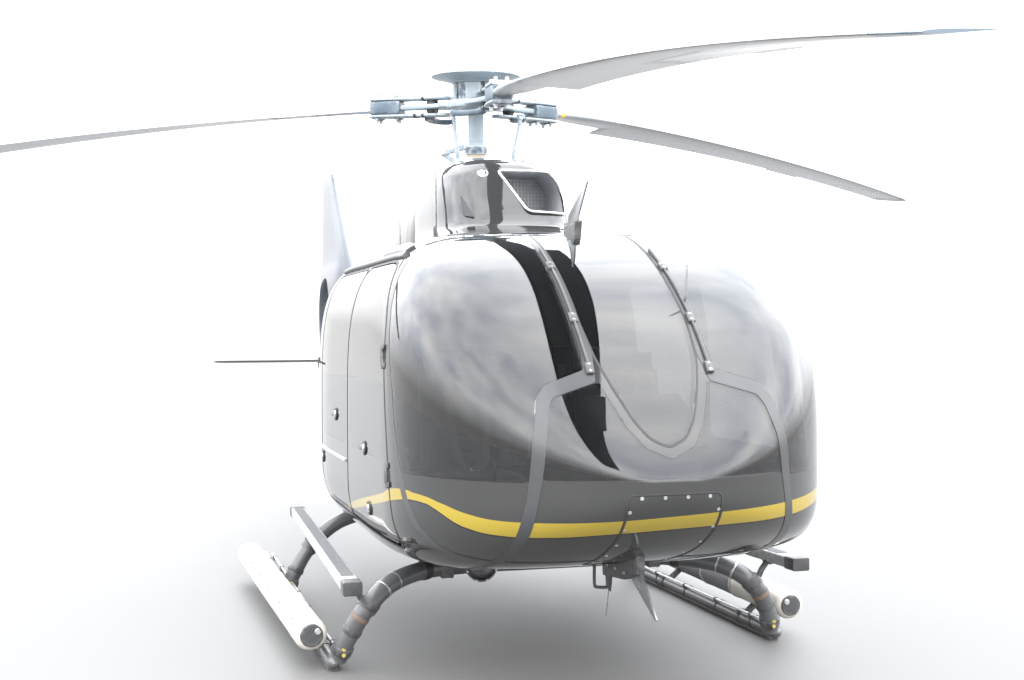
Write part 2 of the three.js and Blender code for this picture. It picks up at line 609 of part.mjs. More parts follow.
function fanSupport() {
  const hub = join([bar([10, 0, 0], [130, 0, 0], 105, 88, 20), bar([-10 + SEAT_GAP, 0, 0], [20, 0, 0], 40, 40, 12)]);
  const reach = FAN.duct + 20;
  const arms = [20, 140, 260].map((angle) => {
    const [c, s] = [Math.cos(angle * RAD), Math.sin(angle * RAD)];
    return bar([70, 60 * c, 60 * s], [70, reach * c, reach * s], 34, 26, 10);
  });
  return join([hub, ...arms]).intersect(bar([-200, 0, 0], [300, 0, 0], FAN.duct - SEAT_GAP, FAN.duct - SEAT_GAP, 36));
}

// Landing gear: two bent cross tubes on skids, with float packs outside and boarding steps above
const skidHeight = SKID.radius + SKID.shoe;
const skidCutter = (side) => bar(
  [side * SKID.x, SKID.front - 100, skidHeight], [side * SKID.x, SKID.rear + 100, skidHeight],
  SKID.radius + SEAT_GAP, SKID.radius + SEAT_GAP, SKID.sides);

// Middle lines of the cross tubes' port halves
const FRONT_TUBE = [
  [300, -1450, 450.2], [640, -1500, 446], [880, -1680, 422], [1030, -1785, 330], [1125, -1760, 180], [1172, -1708, 62],
];
const REAR_TUBE = [
  [300, 395, 520], [600, 392, 517], [860, 370, 455], [1045, 340, 310], [1155, 322, 140], [1185, 318, 62],
];

function tubeForm(points, grow) {
  const whole = [...points.map(([x, y, z]) => [-x, y, z]).reverse(), ...points];
  return pipe(whole, CROSS_TUBE_RADIUS + grow, 24, 10);
}

const crossTube = (points) => cut(tubeForm(points, 0), [skidCutter(1), skidCutter(-1)]);
const tubeRooms = () => [FRONT_TUBE, REAR_TUBE].map((points) => tubeForm(points, SEAT_GAP));

function skid() {
  const tube = bar([SKID.x, SKID.front, skidHeight], [SKID.x, SKID.rear, skidHeight], SKID.radius, SKID.radius, SKID.sides);
  const noseCap = solid(new THREE.SphereGeometry(SKID.radius, SKID.sides, 6).rotateX(90 * RAD)
    .translate(SKID.x, SKID.front, skidHeight));
  const shoe = block([SKID.x - 24, SKID.x + 24], [SKID.front + 60, SKID.rear - 40], [0, 22]);
  return join([tube, noseCap, shoe]);
}

function floatPack() {
  const { frontX, rearX, z, radius, front, rear, brackets } = FLOAT_PACK;
  const pack = bar([frontX, front, z], [rearX, rear, z], radius, radius, SKID.sides);
  const arms = brackets.map((y) => bar([(frontX + rearX) / 2, y, z], [SKID.x, y, skidHeight], 20, 20, 12));
  return cut(join([pack, ...arms]), [skidCutter(1), ...tubeRooms()]);
}

function boardingStep() {
  const { frontX, rearX, front, rear, top, width, height } = STEP;
  const plan = [[frontX - width, front], [frontX, front], [rearX, rear], [rearX - width, rear]];
  const beam = planPrism(plan, top - height, top, 12);
  const posts = [[FRONT_TUBE[3], 110], [REAR_TUBE[3], 30]].map(([[x, y, z], lean]) =>
    bar([x + 20, y, z], [x + lean, y, top - height / 2], 16, 16, 10));
  return cut(join([beam, ...posts]), tubeRooms());
}

// Cabin fittings
function seat(x, width, front, rake) {
  const rear = front + 470;
  const profile = [
    [front + 40, FLOOR.top + SEAT_GAP], [rear - 60, FLOOR.top + SEAT_GAP], [rear + 20, 860], [rear + 20 + rake, 1560],
    [rear - 90 + rake, 1580], [rear - 115, 960], [front, 950], [front - 10, 860],
  ];
  return sidePrism(profile, x - width / 2, x + width / 2, 40);
}

function instrumentConsole() {
  const profile = [
    [-2560, FLOOR.top + SEAT_GAP], [-2060, FLOOR.top + SEAT_GAP], [-2060, 900], [-2330, 990], [-2400, 1330],
    [-2480, 1385], [-2720, 1230], [-2760, 1000],
  ];
  return sidePrism(profile, -150, 330, 40);
}

// Cable cutters: a base on the skin with a blade raked forwards
function cutter(blade, base, halfWidth) {
  return join([sidePrism(blade, -4, 4), sidePrism(base, -halfWidth, halfWidth)]).subtract(cabinBody(-SEAT_GAP));
}

const upperCutter = () => cutter(
  [[-2000, 2215], [-1825, 2215], [-1835, 2262], [-2122, 2406], [-2144, 2404], [-2000, 2248]],
  [[-1970, 2100], [-1790, 2100], [-1810, 2225], [-2000, 2225]], 30);
const bellyCutter = () => cutter(
  [[-2800, 640], [-2860, 600], [-3032, 440], [-3012, 432], [-2800, 530], [-2700, 580]],
  [[-2380, 610], [-2380, 525], [-2660, 550], [-2840, 600], [-2840, 700]], 32);

// A round lamp under the belly, facing ahead, its upper half inside the skin
function landingLight() {
  const [x, z] = [-460, 500];
  return bar([x, -1810, z], [x, -1735, z], 83, 60, 24).subtract(cabinBody(-SEAT_GAP));
}

// Main rotor, in its own frame: +Z up the tilted mast, z = 0 at the top of the hub's dish
const rotorPlace = new Matrix4()
  .makeRotationFromEuler(new THREE.Euler(ROTOR.tilt * RAD, ROTOR.lean * RAD, 0))
  .setPosition(0, ROTOR.y, ROTOR.top);
const STAR = { z: -ROTOR.starBelow, half: 24, arm: 17, radius: 195, plate: [46, 62] };
const MAST = { radius: 50, collar: [68, -500, -436], base: 58, flangeTop: -578 };
const SWASH = { low: -566, high: -552, inner: 76, outer: 122, linkRadius: 230, hornRadius: 289, hornAngle: -42.7 };
const aroundHub = (make) => [0, 1, 2].map((i) => solid(geometryOf(make(i)).rotateZ(i * 120 * RAD)));

function rotorMast() {
  const [collarRadius, low, high] = MAST.collar;
  const foot = STAR.z - STAR.half - SEAT_GAP;
  return turned([
    [0, low], [collarRadius, low], [collarRadius, high - 8], [MAST.radius + 8, high], [MAST.radius, high + 2],
    [MAST.radius, foot - 36], [90, foot - 8], [90, foot], [0, foot],
  ]);
}

function hubStar() {
  const [low, high] = [STAR.z - STAR.half, STAR.z + STAR.half];
  const centre = turned([[0, low], [STAR.radius, low], [STAR.radius, high], [0, high]], 36);
  const tip = ROTOR.gripFrom - SEAT_GAP;
  const half = [[150, 118], [300, 58], [400, 38], [tip, 40]];
  const arm = [...half.map(([x, y]) => [x, -y]), ...half.reverse()];
  return join([centre, ...aroundHub(() => planPrism(arm, STAR.z - STAR.arm, STAR.z + STAR.arm))]);
}

function hubDish() {
  const foot = STAR.z + STAR.half + SEAT_GAP;
  return turned([[0, foot], [155, foot], [155, -44], [175, -36], [286, -7], [286, 0], [0, 0]], 40);
}

function bladeSleeve() {
  const half = [[252, 62], [330, 50], [430, 46], [ROTOR.gripFrom, 66], [ROTOR.gripTo, 72]];
  const plate = [...half.map(([x, y]) => [x, -y]), ...[...half].reverse()];
  const [inner, outer] = STAR.plate;
  const level = (low, high) => planPrism(plate, STAR.z + low, STAR.z + high);
  const grip = block([ROTOR.gripFrom, ROTOR.gripTo], [-66, 66], [STAR.z - outer + 2, STAR.z + outer - 2]);
  const padFrom = STAR.arm + SEAT_GAP;
  const pads = [[padFrom, inner + 4], [-inner - 4, -padFrom]].map(([low, high]) =>
    bar([292, 0, STAR.z + low], [292, 0, STAR.z + high], 34, 34, 14));
  const eye = new Vector2(SWASH.hornRadius, 0).rotateAround(new Vector2(), SWASH.hornAngle * RAD);
  const horn = planPrism([
    [256, -40], [eye.x - 22, eye.y + 4], [eye.x - 8, eye.y - 20], [eye.x + 16, eye.y - 14], [336, -44],
  ], STAR.z - outer, STAR.z - inner);
  return join([level(inner, outer), level(-outer, -inner), grip, ...pads, horn]);
}

function bladeForm() {
  const lead = -ROTOR.chord / 4;
  const trail = lead + ROTOR.chord;
  const stations = [      // radius, leading edge, trailing edge, thickness share of full
    [ROTOR.gripTo + SEAT_GAP, -60, 60, 1.45], [800, -70, 70, 1.35], [950, -78, 92, 1.2], [1150, lead, 104, 1.1],
    [ROTOR.neckTo, lead, 112, 1.05], [ROTOR.fullFrom, lead, trail, 1], [2000, lead, trail, 1],
    [2900, lead, trail, 1], [3900, lead, trail, 0.95], [4700, lead, trail, 0.9], [5150, lead, trail, 0.85],
    [5290, lead + 17, trail, 0.65], [ROTOR.radius, lead + 67, trail, 0.35],
  ];
  const outline = [[0, 0], [0.04, 0.55], [0.15, 0.95], [0.32, 1], [0.65, 0.6], [1, 0.07]];
  const [above, below] = [1.15, 0.85];
  const reach = ROTOR.radius - ROTOR.gripTo;
  return loft(stations.map(([radius, front, rear, share]) => {
    const drop = ROTOR.droop * (radius / ROTOR.radius) ** ROTOR.droopPower;
    const pitch = (ROTOR.pitch + (ROTOR.twist * (radius - ROTOR.gripTo)) / reach) * RAD;
    const row = (side) => outline.map(([c, t]) => {
      const u = front + c * (rear - front);
      const v = side * t * share * (ROTOR.thickness / 2);
      const height = STAR.z - drop - u * Math.sin(pitch) + v * Math.cos(pitch);
      return new Vector3(radius, u * Math.cos(pitch) + v * Math.sin(pitch), height);
    });
    return [...row(above), ...row(-below).slice(1).reverse()];
  }));
}

// Rotating swashplate with its links up to the sleeves' horns, and the scissors to the collar
function rotatingSwashplate() {
  const { low, high, inner, outer, linkRadius, hornRadius } = SWASH;
  const ring = turned([[inner, low], [outer, low], [outer, high], [inner, high], [inner, low]], 24);
  const links = aroundHub((i) => {
    const arm = planPrism([[100, -26], [linkRadius + 16, -14], [linkRadius + 16, 14], [100, 26]], low, high);
    const link = bar([linkRadius, 0, low + 6], [hornRadius, 0, STAR.z - 56], 9, 9, 10);
    return solid(geometryOf(join([arm, link])).rotateZ(SWASH.hornAngle * RAD));
  });
  const spread = [[76, -452], [215, -489], [112, low + 4]];     // radius and height of the scissors' joints
  const middle = 135.2;
  const at = ([radius, z], aside = 0) => {
    const spot = new Vector3(radius, aside, z).applyAxisAngle(new Vector3(0, 0, 1), middle * RAD);
    return spot.toArray();
  };
  const scissors = spread.slice(1).map((point, i) => bar(at(spread[i]), at(point), 13, 13, 8));
  const knee = bar(at(spread[1], -24), at(spread[1], 24), 18, 18, 10);
  const collar = bar([0, 0, MAST.collar[1] - 20], [0, 0, MAST.collar[2] + 36], MAST.collar[0] + SEAT_GAP, undefined, 24);
  const horns = block([-500, 500], [-500, 500], [STAR.z - STAR.plate[1] - SEAT_GAP, STAR.z]);
  return cut(join([ring, ...links, ...scissors, knee]), [collar, horns]);
}

function mastBase() {
  const bottom = -640;
  const top = MAST.collar[1] - SEAT_GAP;
  const { base, flangeTop } = MAST;
  const stem = turned([
    [0, bottom], [FAIRING.mastFlange, bottom], [FAIRING.mastFlange, flangeTop], [base + 6, flangeTop + 4],
    [base, flangeTop + 10], [base, top], [0, top],
  ]);
  const fairing = geometryOf(block([-300, 300], [-300, 300], [2400, FAIRING.top + SEAT_GAP]));
  return stem.subtract(solid(fairing.applyMatrix4(rotorPlace.clone().invert())));
}

// The machine
const machine = new THREE.Group();
function add(name, manifold, material, parent = machine) {
  const mesh = new THREE.Mesh(geometryOf(manifold), material);
  mesh.name = name;
  parent.add(mesh);
  return mesh;
}

function addPair(name, manifold, material) {
  add(`${name}_port`, manifold, material());
  add(`${name}_starboard`, mirrored(manifold), material());
}

add('cabin_frame', cabinFrame(), blackPaint());
add('cabin_floor', cabinFloor(), satinBlack());
add('windshield_centre', centrePane(), tintedAcrylic());
add('lower_pane', lowerPane(), tintedAcrylic());
addPair('windshield', sidePane(), tintedAcrylic);
add('nose_hatch', noseHatch(), blackPaint());
addPair('front_door', frontDoor(), blackPaint);
addPair('front_door_pane', frontDoorPane(), tintedAcrylic);
addPair('rear_door', rearDoor(), blackPaint);
addPair('rear_door_pane', rearDoorPane(), tintedAcrylic);
addPair('front_seat', seat(430, 500, -1790, 90), seatLeather);
add('rear_bench', seat(0, 1720, -590, 60), seatLeather());
add('instrument_console', instrumentConsole(), satinBlack());

add('rear_fuselage', rearFuselage(), blackPaint());
addPair('bay_door', bayDoor(), blackPaint);
add('engine', engine(), darkMetal());
add('mast_fairing', mastFairing(), blackPaint());
add('engine_cowl', engineCowl(), blackPaint());
add('exhaust_pipe', exhaustPipe(), darkMetal());
add('tail_boom', tailBoom(), blackPaint());
add('fin_and_shroud', finAndShroud(), greyPaint());
add('stabiliser', stabiliserForm(0), greyPaint());
for (const mesh of [add('fan_rotor', fanRotor(), darkMetal()), add('fan_support', fanSupport(), greyPaint())]) {
  mesh.position.set(0, FAN.y, FAN.z);
}

add('front_cross_tube', crossTube(FRONT_TUBE), satinBlack());
add('rear_cross_tube', crossTube(REAR_TUBE), satinBlack());
addPair('skid', skid(), satinBlack);
addPair('float_pack', floatPack(), coverCloth);
addPair('boarding_step', boardingStep(), satinBlack);
add('upper_cable_cutter', upperCutter(), darkMetal());
add('lower_cable_cutter', bellyCutter(), darkMetal());
add('landing_light', landingLight(), satinBlack());

const rotor = new THREE.Group();
rotor.applyMatrix4(rotorPlace);
machine.add(rotor);
add('mast_base', mastBase(), blueGreyMetal(), rotor);
add('rotor_mast', rotorMast(), blueGreyMetal(), rotor);
const head = new THREE.Group();
head.rotation.z = ROTOR.azimuth * RAD;
rotor.add(head);
add('hub_star', hubStar(), blueGreyMetal(), head);
add('hub_dish', hubDish(), blueGreyMetal(), head);
add('rotating_swashplate', rotatingSwashplate(), blueGreyMetal(), head);
['front', 'port', 'starboard'].forEach((name, i) => {
  const arm = new THREE.Group();
  arm.rotation.z = (i - 1) * 120 * RAD;
  head.add(arm);
  add(`blade_sleeve_${name}`, bladeSleeve(), blueGreyMetal(), arm);
  add(`rotor_blade_${name}`, bladeForm(), bladeGrey(), arm);
});

// Origin: middle of the footprint box, on the ground
const whole = new THREE.Group();
whole.add(machine);
whole.updateMatrixWorld(true);
const box = new THREE.Box3().setFromObject(whole, true);
machine.position.set(-(box.min.x + box.max.x) / 2, -(box.min.y + box.max.y) / 2, 0);

export default whole;
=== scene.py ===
import json
import math
import bmesh
import bpy
import numpy as np
from mathutils import Matrix, Vector
from mathutils.bvhtree import BVHTree
from mathutils.interpolate import poly_3d_calc


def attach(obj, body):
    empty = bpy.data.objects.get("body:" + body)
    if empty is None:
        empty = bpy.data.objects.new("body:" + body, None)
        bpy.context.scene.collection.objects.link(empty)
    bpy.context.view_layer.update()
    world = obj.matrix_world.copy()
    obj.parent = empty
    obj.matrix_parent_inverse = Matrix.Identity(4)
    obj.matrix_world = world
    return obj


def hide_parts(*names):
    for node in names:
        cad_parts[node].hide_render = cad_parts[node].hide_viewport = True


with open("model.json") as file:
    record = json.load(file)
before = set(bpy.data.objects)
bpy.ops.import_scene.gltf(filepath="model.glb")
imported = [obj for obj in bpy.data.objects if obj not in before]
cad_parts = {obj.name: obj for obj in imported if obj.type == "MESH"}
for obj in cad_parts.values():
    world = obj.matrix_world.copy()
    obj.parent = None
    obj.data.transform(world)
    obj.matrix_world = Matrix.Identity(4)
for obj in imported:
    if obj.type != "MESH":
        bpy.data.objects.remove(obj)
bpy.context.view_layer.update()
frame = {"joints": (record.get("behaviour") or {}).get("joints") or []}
scene = bpy.context.scene
print("stage: frame loaded")

# Places below are given from a point on the ground 90 mm ahead of the rotor's axis, nose towards -Y, port +X
joints = {joint["name"]: joint for joint in frame["joints"]}
mastX, mastY, _ = joints["main_rotor_spin"]["pos_m"]
shift = np.array([mastX, mastY - 0.09, 0.0])
sides = {"port": 1, "starboard": -1}


# Shared tools for meshes

def meshObject(name, points, faces):
    mesh = bpy.data.meshes.new(name)
    mesh.from_pydata([tuple(p) for p in np.asarray(points, float) + shift], [], [tuple(f) for f in faces])
    obj = bpy.data.objects.new(name, mesh)
    scene.collection.objects.link(obj)
    return obj


def finishPiece(obj, body, material, nodes=(), angle=35):
    obj.data.materials.clear()
    obj.data.materials.append(material)
    if angle is not None:
        smoothByAngle(obj.data, angle)
    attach(obj, body)
    if nodes:
        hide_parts(*nodes)
    return obj


def fixed(obj, finish, angle=35, name=None, nodes=()):
    # a piece that stands still on the airframe
    if name:
        obj.name = name
    return finishPiece(obj, "airframe", finish, nodes, angle)


def smoothByAngle(mesh, angle):
    mesh.shade_smooth()
    mesh.set_sharp_from_angle(angle=math.radians(angle))


def flipX(obj):
    mesh = obj.data
    spots = np.zeros(len(mesh.vertices) * 3)
    mesh.vertices.foreach_get("co", spots)
    spots = spots.reshape(-1, 3)
    spots[:, 0] = 2 * shift[0] - spots[:, 0]
    mesh.vertices.foreach_set("co", spots.ravel())
    mesh.flip_normals()
    mesh.update()
    return obj


def copyOf(obj, name):
    twin = bpy.data.objects.new(name, obj.data.copy())
    scene.collection.objects.link(twin)
    return twin


def loftFaces(count, around, closed=True):
    faces = []
    for r in range(count - 1):
        for i in range(around if closed else around - 1):
            a = r * around + i
            b = r * around + (i + 1) % around
            faces.append((a, b, b + around, a + around))
    return faces


def loft(name, rings, caps=True):
    rings = np.asarray(rings, float)
    count, around = rings.shape[:2]
    faces = loftFaces(count, around)
    if caps:
        faces.append(tuple(range(around))[::-1])
        faces.append(tuple(range((count - 1) * around, count * around)))
    obj = meshObject(name, rings.reshape(-1, 3), faces)
    facesOut(obj)
    return obj


def facesOut(obj):
    bm = bmesh.new()
    bm.from_mesh(obj.data)
    bmesh.ops.remove_doubles(bm, verts=bm.verts, dist=1e-5)
    bmesh.ops.recalc_face_normals(bm, faces=bm.faces)
    bm.to_mesh(obj.data)
    bm.free()


def smoothRow(values, count):
    # a smooth curve through rows of numbers, with an even number of steps between them
    rows = np.asarray(values, float)
    out = []
    for i in range(len(rows) - 1):
        p0 = rows[max(i - 1, 0)]
        p1, p2 = rows[i], rows[i + 1]
        p3 = rows[min(i + 2, len(rows) - 1)]
        for k in range(count):
            t = k / count
            out.append(0.5 * (2 * p1 + (p2 - p0) * t + (2 * p0 - 5 * p1 + 4 * p2 - p3) * t * t
                              + (3 * p1 - p0 - 3 * p2 + p3) * t ** 3))
    out.append(rows[-1])
    return np.array(out)


def roundedOutline(corners, radius, steps=6):
    corners = [np.array(c, float) for c in corners]
    out = []
    for i, here in enumerate(corners):
        before, after = corners[i - 1], corners[(i + 1) % len(corners)]
        toBefore, toAfter = before - here, after - here
        reach = min(radius, np.linalg.norm(toBefore) / 2.1, np.linalg.norm(toAfter) / 2.1)
        enter = here + toBefore / np.linalg.norm(toBefore) * reach
        leave = here + toAfter / np.linalg.norm(toAfter) * reach
        for k in range(steps + 1):
            t = k / steps
            out.append((1 - t) ** 2 * enter + 2 * t * (1 - t) * here + t * t * leave)
    return np.array(out)


def grown(corners, distance):
    corners = [np.array(c, float) for c in corners]
    out = []
    for i, here in enumerate(corners):
        before = here - corners[i - 1]
        after = corners[(i + 1) % len(corners)] - here
        before /= np.linalg.norm(before)
        after /= np.linalg.norm(after)
        a, b = np.array([before[1], -before[0]]), np.array([after[1], -after[0]])
        out.append(here + (a + b) / (1 + a @ b) * distance)
    return np.array(out)


def prism(corners, low, high, axis, radius=0.0, steps=6):
    # an outline of (y, z) pushed along x, or of (x, z) along y, or of (x, y) along z
    outline = roundedOutline(corners, radius, steps) if radius else np.asarray(corners, float)
    order = {"x": (2, 0, 1), "y": (0, 2, 1), "z": (0, 1, 2)}[axis]
    rings = [[np.array([u, v, level])[list(order)] for u, v in outline] for level in (low, high)]
    return loft("cutter", rings)


def blockMesh(x, y, z, name="block"):
    corners = [(x[0], y[0]), (x[1], y[0]), (x[1], y[1]), (x[0], y[1])]
    obj = prism(corners, z[0], z[1], "z")
    obj.name = name
    return obj


def combine(obj, tools, operation="DIFFERENCE"):
    for tool in tools:
        change = obj.modifiers.new("combine", "BOOLEAN")
        change.object = tool
        change.operation = operation
        change.solver = "MANIFOLD"
        result = bpy.data.meshes.new_from_object(obj.evaluated_get(bpy.context.evaluated_depsgraph_get()))
        obj.modifiers.remove(change)
        obj.data = result
    for tool in tools:
        bpy.data.objects.remove(tool)
    return obj


def merged(name, objects):
    # several meshes as one
    bm = bmesh.new()
    for obj in objects:
        bm.from_mesh(obj.data)
    mesh = bpy.data.meshes.new(name)
    bm.to_mesh(mesh)
    bm.free()
    for obj in objects:
        bpy.data.objects.remove(obj)
    whole = bpy.data.objects.new(name, mesh)
    scene.collection.objects.link(whole)
    return whole


def turned(name, profile, centre, axis=(0, 0, 1), sides=48):
    # a lathe of (radius, height) rows about an axis through centre
    toAxis = Vector((0, 0, 1)).rotation_difference(Vector(axis)).to_matrix()
    rings = []
    for radius, height in profile:
        ring = [Vector((max(radius, 1e-5) * math.cos(2 * math.pi * i / sides),
                        max(radius, 1e-5) * math.sin(2 * math.pi * i / sides), height)) for i in range(sides)]
        rings.append([np.array(toAxis @ p) + np.array(centre) for p in ring])
    return loft(name, rings)


def rod(name, points, radius, sides=16, smooth=0):
    # a round rod along points; radius is one number, or one for each point
    path = np.asarray(points, float)
    if smooth:
        path = smoothRow(path, smooth)
    radii = np.interp(np.linspace(0, 1, len(path)), np.linspace(0, 1, np.size(radius)), np.atleast_1d(radius))
    tangents = np.gradient(path, axis=0)
    tangents /= np.linalg.norm(tangents, axis=1)[:, None]
    side = np.cross(tangents[0], [0, 0, 1.0] if abs(tangents[0][2]) < 0.9 else [1.0, 0, 0])
    rings = []
    for spot, tangent, r in zip(path, tangents, radii):
        side = side - tangent * (side @ tangent)
        side /= np.linalg.norm(side)
        up = np.cross(side, tangent)
        turn = np.linspace(0, 2 * math.pi, sides, endpoint=False)
        rings.append(spot + r * (np.outer(np.cos(turn), side) + np.outer(np.sin(turn), up)))
    return loft(name, rings)


# Shared tools for materials

def addNode(tree, kind, **values):
    made = tree.nodes.new(kind)
    for key, value in values.items():
        if hasattr(made, key):
            setattr(made, key, value)
        else:
            made.inputs[key.replace("_", " ")].default_value = value
    return made


def newGroup(name, inputs, outputs):
    group = bpy.data.node_groups.new(name, "ShaderNodeTree")
    kinds = {float: "NodeSocketFloat", tuple: "NodeSocketColor"}
    for key, value in inputs.items():
        socket = group.interface.new_socket(key, in_out="INPUT", socket_type=kinds[type(value)])
        socket.default_value = value
    for key, kind in outputs.items():
        group.interface.new_socket(key, in_out="OUTPUT", socket_type=kinds[kind])
    return group, group.nodes.new("NodeGroupInput"), group.nodes.new("NodeGroupOutput")


def mathNode(tree, operation, a, b=None, clamp=False):
    made = addNode(tree, "ShaderNodeMath", operation=operation, use_clamp=clamp)
    for slot, value in zip(made.inputs, (a, b)):
        if value is None:
            continue
        if isinstance(value, (int, float)):
            slot.default_value = value
        else:
            tree.links.new(value, slot)
    return made.outputs[0]


def mixColor(tree, factor, a, b):
    made = addNode(tree, "ShaderNodeMix", data_type="RGBA")
    for slot, value in ((made.inputs["Factor"], factor), (made.inputs[6], a), (made.inputs[7], b)):
        if hasattr(value, "links"):
            tree.links.new(value, slot)
        elif isinstance(value, (int, float)):
            slot.default_value = value
        else:
            slot.default_value = (*value, 1.0)
    return made.outputs[2]


def mapRange(tree, value, fromLow, fromHigh, toLow=0.0, toHigh=1.0):
    made = addNode(tree, "ShaderNodeMapRange", From_Min=fromLow, From_Max=fromHigh, To_Min=toLow, To_Max=toHigh)
    tree.links.new(value, made.inputs["Value"])
    return made.outputs["Result"]


def between(tree, value, low, high):
    return mathNode(tree, "MULTIPLY", mathNode(tree, "GREATER_THAN", value, low),
                    mathNode(tree, "LESS_THAN", value, high))


def toneGroup():
    # soft colour and roughness changes, and a fine unevenness, over any surface
    group, given, out = newGroup(
        "surfaceTone",
        {"Color": (0.5, 0.5, 0.5, 1.0), "Other Color": (0.4, 0.4, 0.4, 1.0), "Patch Scale": 3.0,
         "Amount": 0.5, "Roughness": 0.4, "Roughness Change": 0.1, "Grain Scale": 80.0},
        {"Color": tuple, "Roughness": float, "Height": float})
    spot = group.nodes.new("ShaderNodeTexCoord")
    patches = addNode(group, "ShaderNodeTexNoise", Detail=5.0, Roughness=0.6)
    group.links.new(spot.outputs["Object"], patches.inputs["Vector"])
    group.links.new(given.outputs["Patch Scale"], patches.inputs["Scale"])
    share = mathNode(group, "MULTIPLY", mapRange(group, patches.outputs["Fac"], 0.35, 0.68),
                     given.outputs["Amount"])
    group.links.new(mixColor(group, share, given.outputs["Color"], given.outputs["Other Color"]),
                    out.inputs["Color"])
    grain = addNode(group, "ShaderNodeTexNoise", Detail=3.0)
    group.links.new(spot.outputs["Object"], grain.inputs["Vector"])
    group.links.new(given.outputs["Grain Scale"], grain.inputs["Scale"])
    uneven = mathNode(group, "MULTIPLY", mathNode(group, "SUBTRACT", patches.outputs["Fac"], 0.5),
                      given.outputs["Roughness Change"])
    group.links.new(mathNode(group, "ADD", given.outputs["Roughness"], uneven, clamp=True),
                    out.inputs["Roughness"])
    group.links.new(grain.outputs["Fac"], out.inputs["Height"])
    return group


def wearGroup():
    # bare edges where a surface turns sharply, broken up by noise
    group, given, out = newGroup("edgeWear", {"Low": 0.52, "High": 0.6, "Break Scale": 30.0}, {"Mask": float})
    spot = group.nodes.new("ShaderNodeTexCoord")
    shape = group.nodes.new("ShaderNodeNewGeometry")
    broken = addNode(group, "ShaderNodeTexNoise", Detail=4.0)
    group.links.new(spot.outputs["Object"], broken.inputs["Vector"])
    group.links.new(given.outputs["Break Scale"], broken.inputs["Scale"])
    edge = addNode(group, "ShaderNodeMapRange")
    group.links.new(shape.outputs["Pointiness"], edge.inputs["Value"])
    group.links.new(given.outputs["Low"], edge.inputs["From Min"])
    group.links.new(given.outputs["High"], edge.inputs["From Max"])
    group.links.new(mathNode(group, "MULTIPLY", edge.outputs["Result"],
                             mapRange(group, broken.outputs["Fac"], 0.4, 0.6)), out.inputs["Mask"])
    return group


tone = toneGroup()
wear = wearGroup()


def material(name, color, other, patch=3, roughness=0.4, change=0.1, grain=80, bump=0.1, depth=0.0005, amount=1,
             bare=None, metallic=0, coat=0, sheen=0):
    # a painted, moulded or metal surface: two tones in patches, a fine grain and, with bare, worn edges
    made = bpy.data.materials.new(name)
    made.use_nodes = True
    tree = made.node_tree
    surface = tree.nodes["Principled BSDF"]
    base = addNode(tree, "ShaderNodeGroup", node_tree=tone)
    values = {"Color": (*color, 1.0), "Other Color": (*other, 1.0), "Patch Scale": patch, "Amount": amount,
              "Roughness": roughness, "Roughness Change": change, "Grain Scale": grain}
    for socket, value in values.items():
        base.inputs[socket].default_value = value
    paint = base.outputs["Color"]
    if bare:
        edges = addNode(tree, "ShaderNodeGroup", node_tree=wear)
        paint = mixColor(tree, edges.outputs["Mask"], paint, bare)
    tree.links.new(paint, surface.inputs["Base Color"])
    tree.links.new(base.outputs["Roughness"], surface.inputs["Roughness"])
    uneven = addNode(tree, "ShaderNodeBump", Strength=bump, Distance=depth)
    tree.links.new(base.outputs["Height"], uneven.inputs["Height"])
    tree.links.new(uneven.outputs["Normal"], surface.inputs["Normal"])
    for socket, value in (("Metallic", metallic), ("Coat Weight", coat), ("Sheen Weight", sheen)):
        surface.inputs[socket].default_value = value
    return made


# The fuselage's outer form: superellipse sections along its length
fuselage = {
    "nose": -3.264, "halfWidth": 1.034, "roof": 2.187, "belly": 0.497, "waist": 1.041,
    "upperPower": 4.69, "lowerPower": 4.4, "sideFull": -2.161, "roofFull": -1.646, "bellyFull": -1.571,
    "taperFrom": -0.533, "taperTo": 2.6, "taperWidth": 0.711, "taperRise": 0.811, "waistRise": 0.64,
    "roofFall": 0.13, "bulkhead": 0.16, "boomStart": 2.603,
    "sideRound": (2.288, 2.096), "roofRound": (2.04, 1.176), "bellyRound": (1.646, 2.341),
    "wall": 0.04, "pane": 0.008, "noseSteps": 64, "around": 132,
}


def fullness(y, full, nose, shape):
    power, root = shape
    s = np.clip((full - y) / (full - nose), 0, 1)
    return np.maximum(0, 1 - s ** power) ** (1 / root)


def bodySection(y, inset=0.0):
    b = fuselage
    nose = b["nose"] + inset
    taper = np.maximum(0, (y - b["taperFrom"]) / (b["taperTo"] - b["taperFrom"])) ** 2
    width = b["halfWidth"] * fullness(y, b["sideFull"], nose, b["sideRound"]) * (1 - b["taperWidth"] * taper)
    middle = b["waist"] + b["waistRise"] * taper
    rise = (b["roof"] - b["waist"]) * fullness(y, b["roofFull"], nose, b["roofRound"])
    drop = (b["waist"] - b["belly"]) * fullness(y, b["bellyFull"], nose, b["bellyRound"])
    up = b["waist"] + rise - b["roofFall"] * taper - middle - inset
    down = middle - (b["waist"] - drop + b["taperRise"] * taper) - inset
    return np.maximum(0.001, width - inset), middle, np.maximum(0.001, up), np.maximum(0.001, down)


def sectionTurns(count):
    # ring angles spaced by distance and by bend, so that the corners come out smooth
    turn = np.linspace(0, 2 * math.pi, 4001)
    c, s = np.cos(turn), np.sin(turn)
    x = np.sign(c) * np.abs(c) ** (2 / fuselage["upperPower"])
    z = np.sign(s) * np.abs(s) ** (2 / fuselage["upperPower"])
    heading = np.unwrap(np.arctan2(np.gradient(z), np.gradient(x)))
    weight = np.hypot(np.diff(x), np.diff(z)) + 0.9 * np.abs(np.diff(heading))
    total = np.concatenate([[0], np.cumsum(weight)])
    return np.interp(np.linspace(0, total[-1], count, endpoint=False), total, turn)


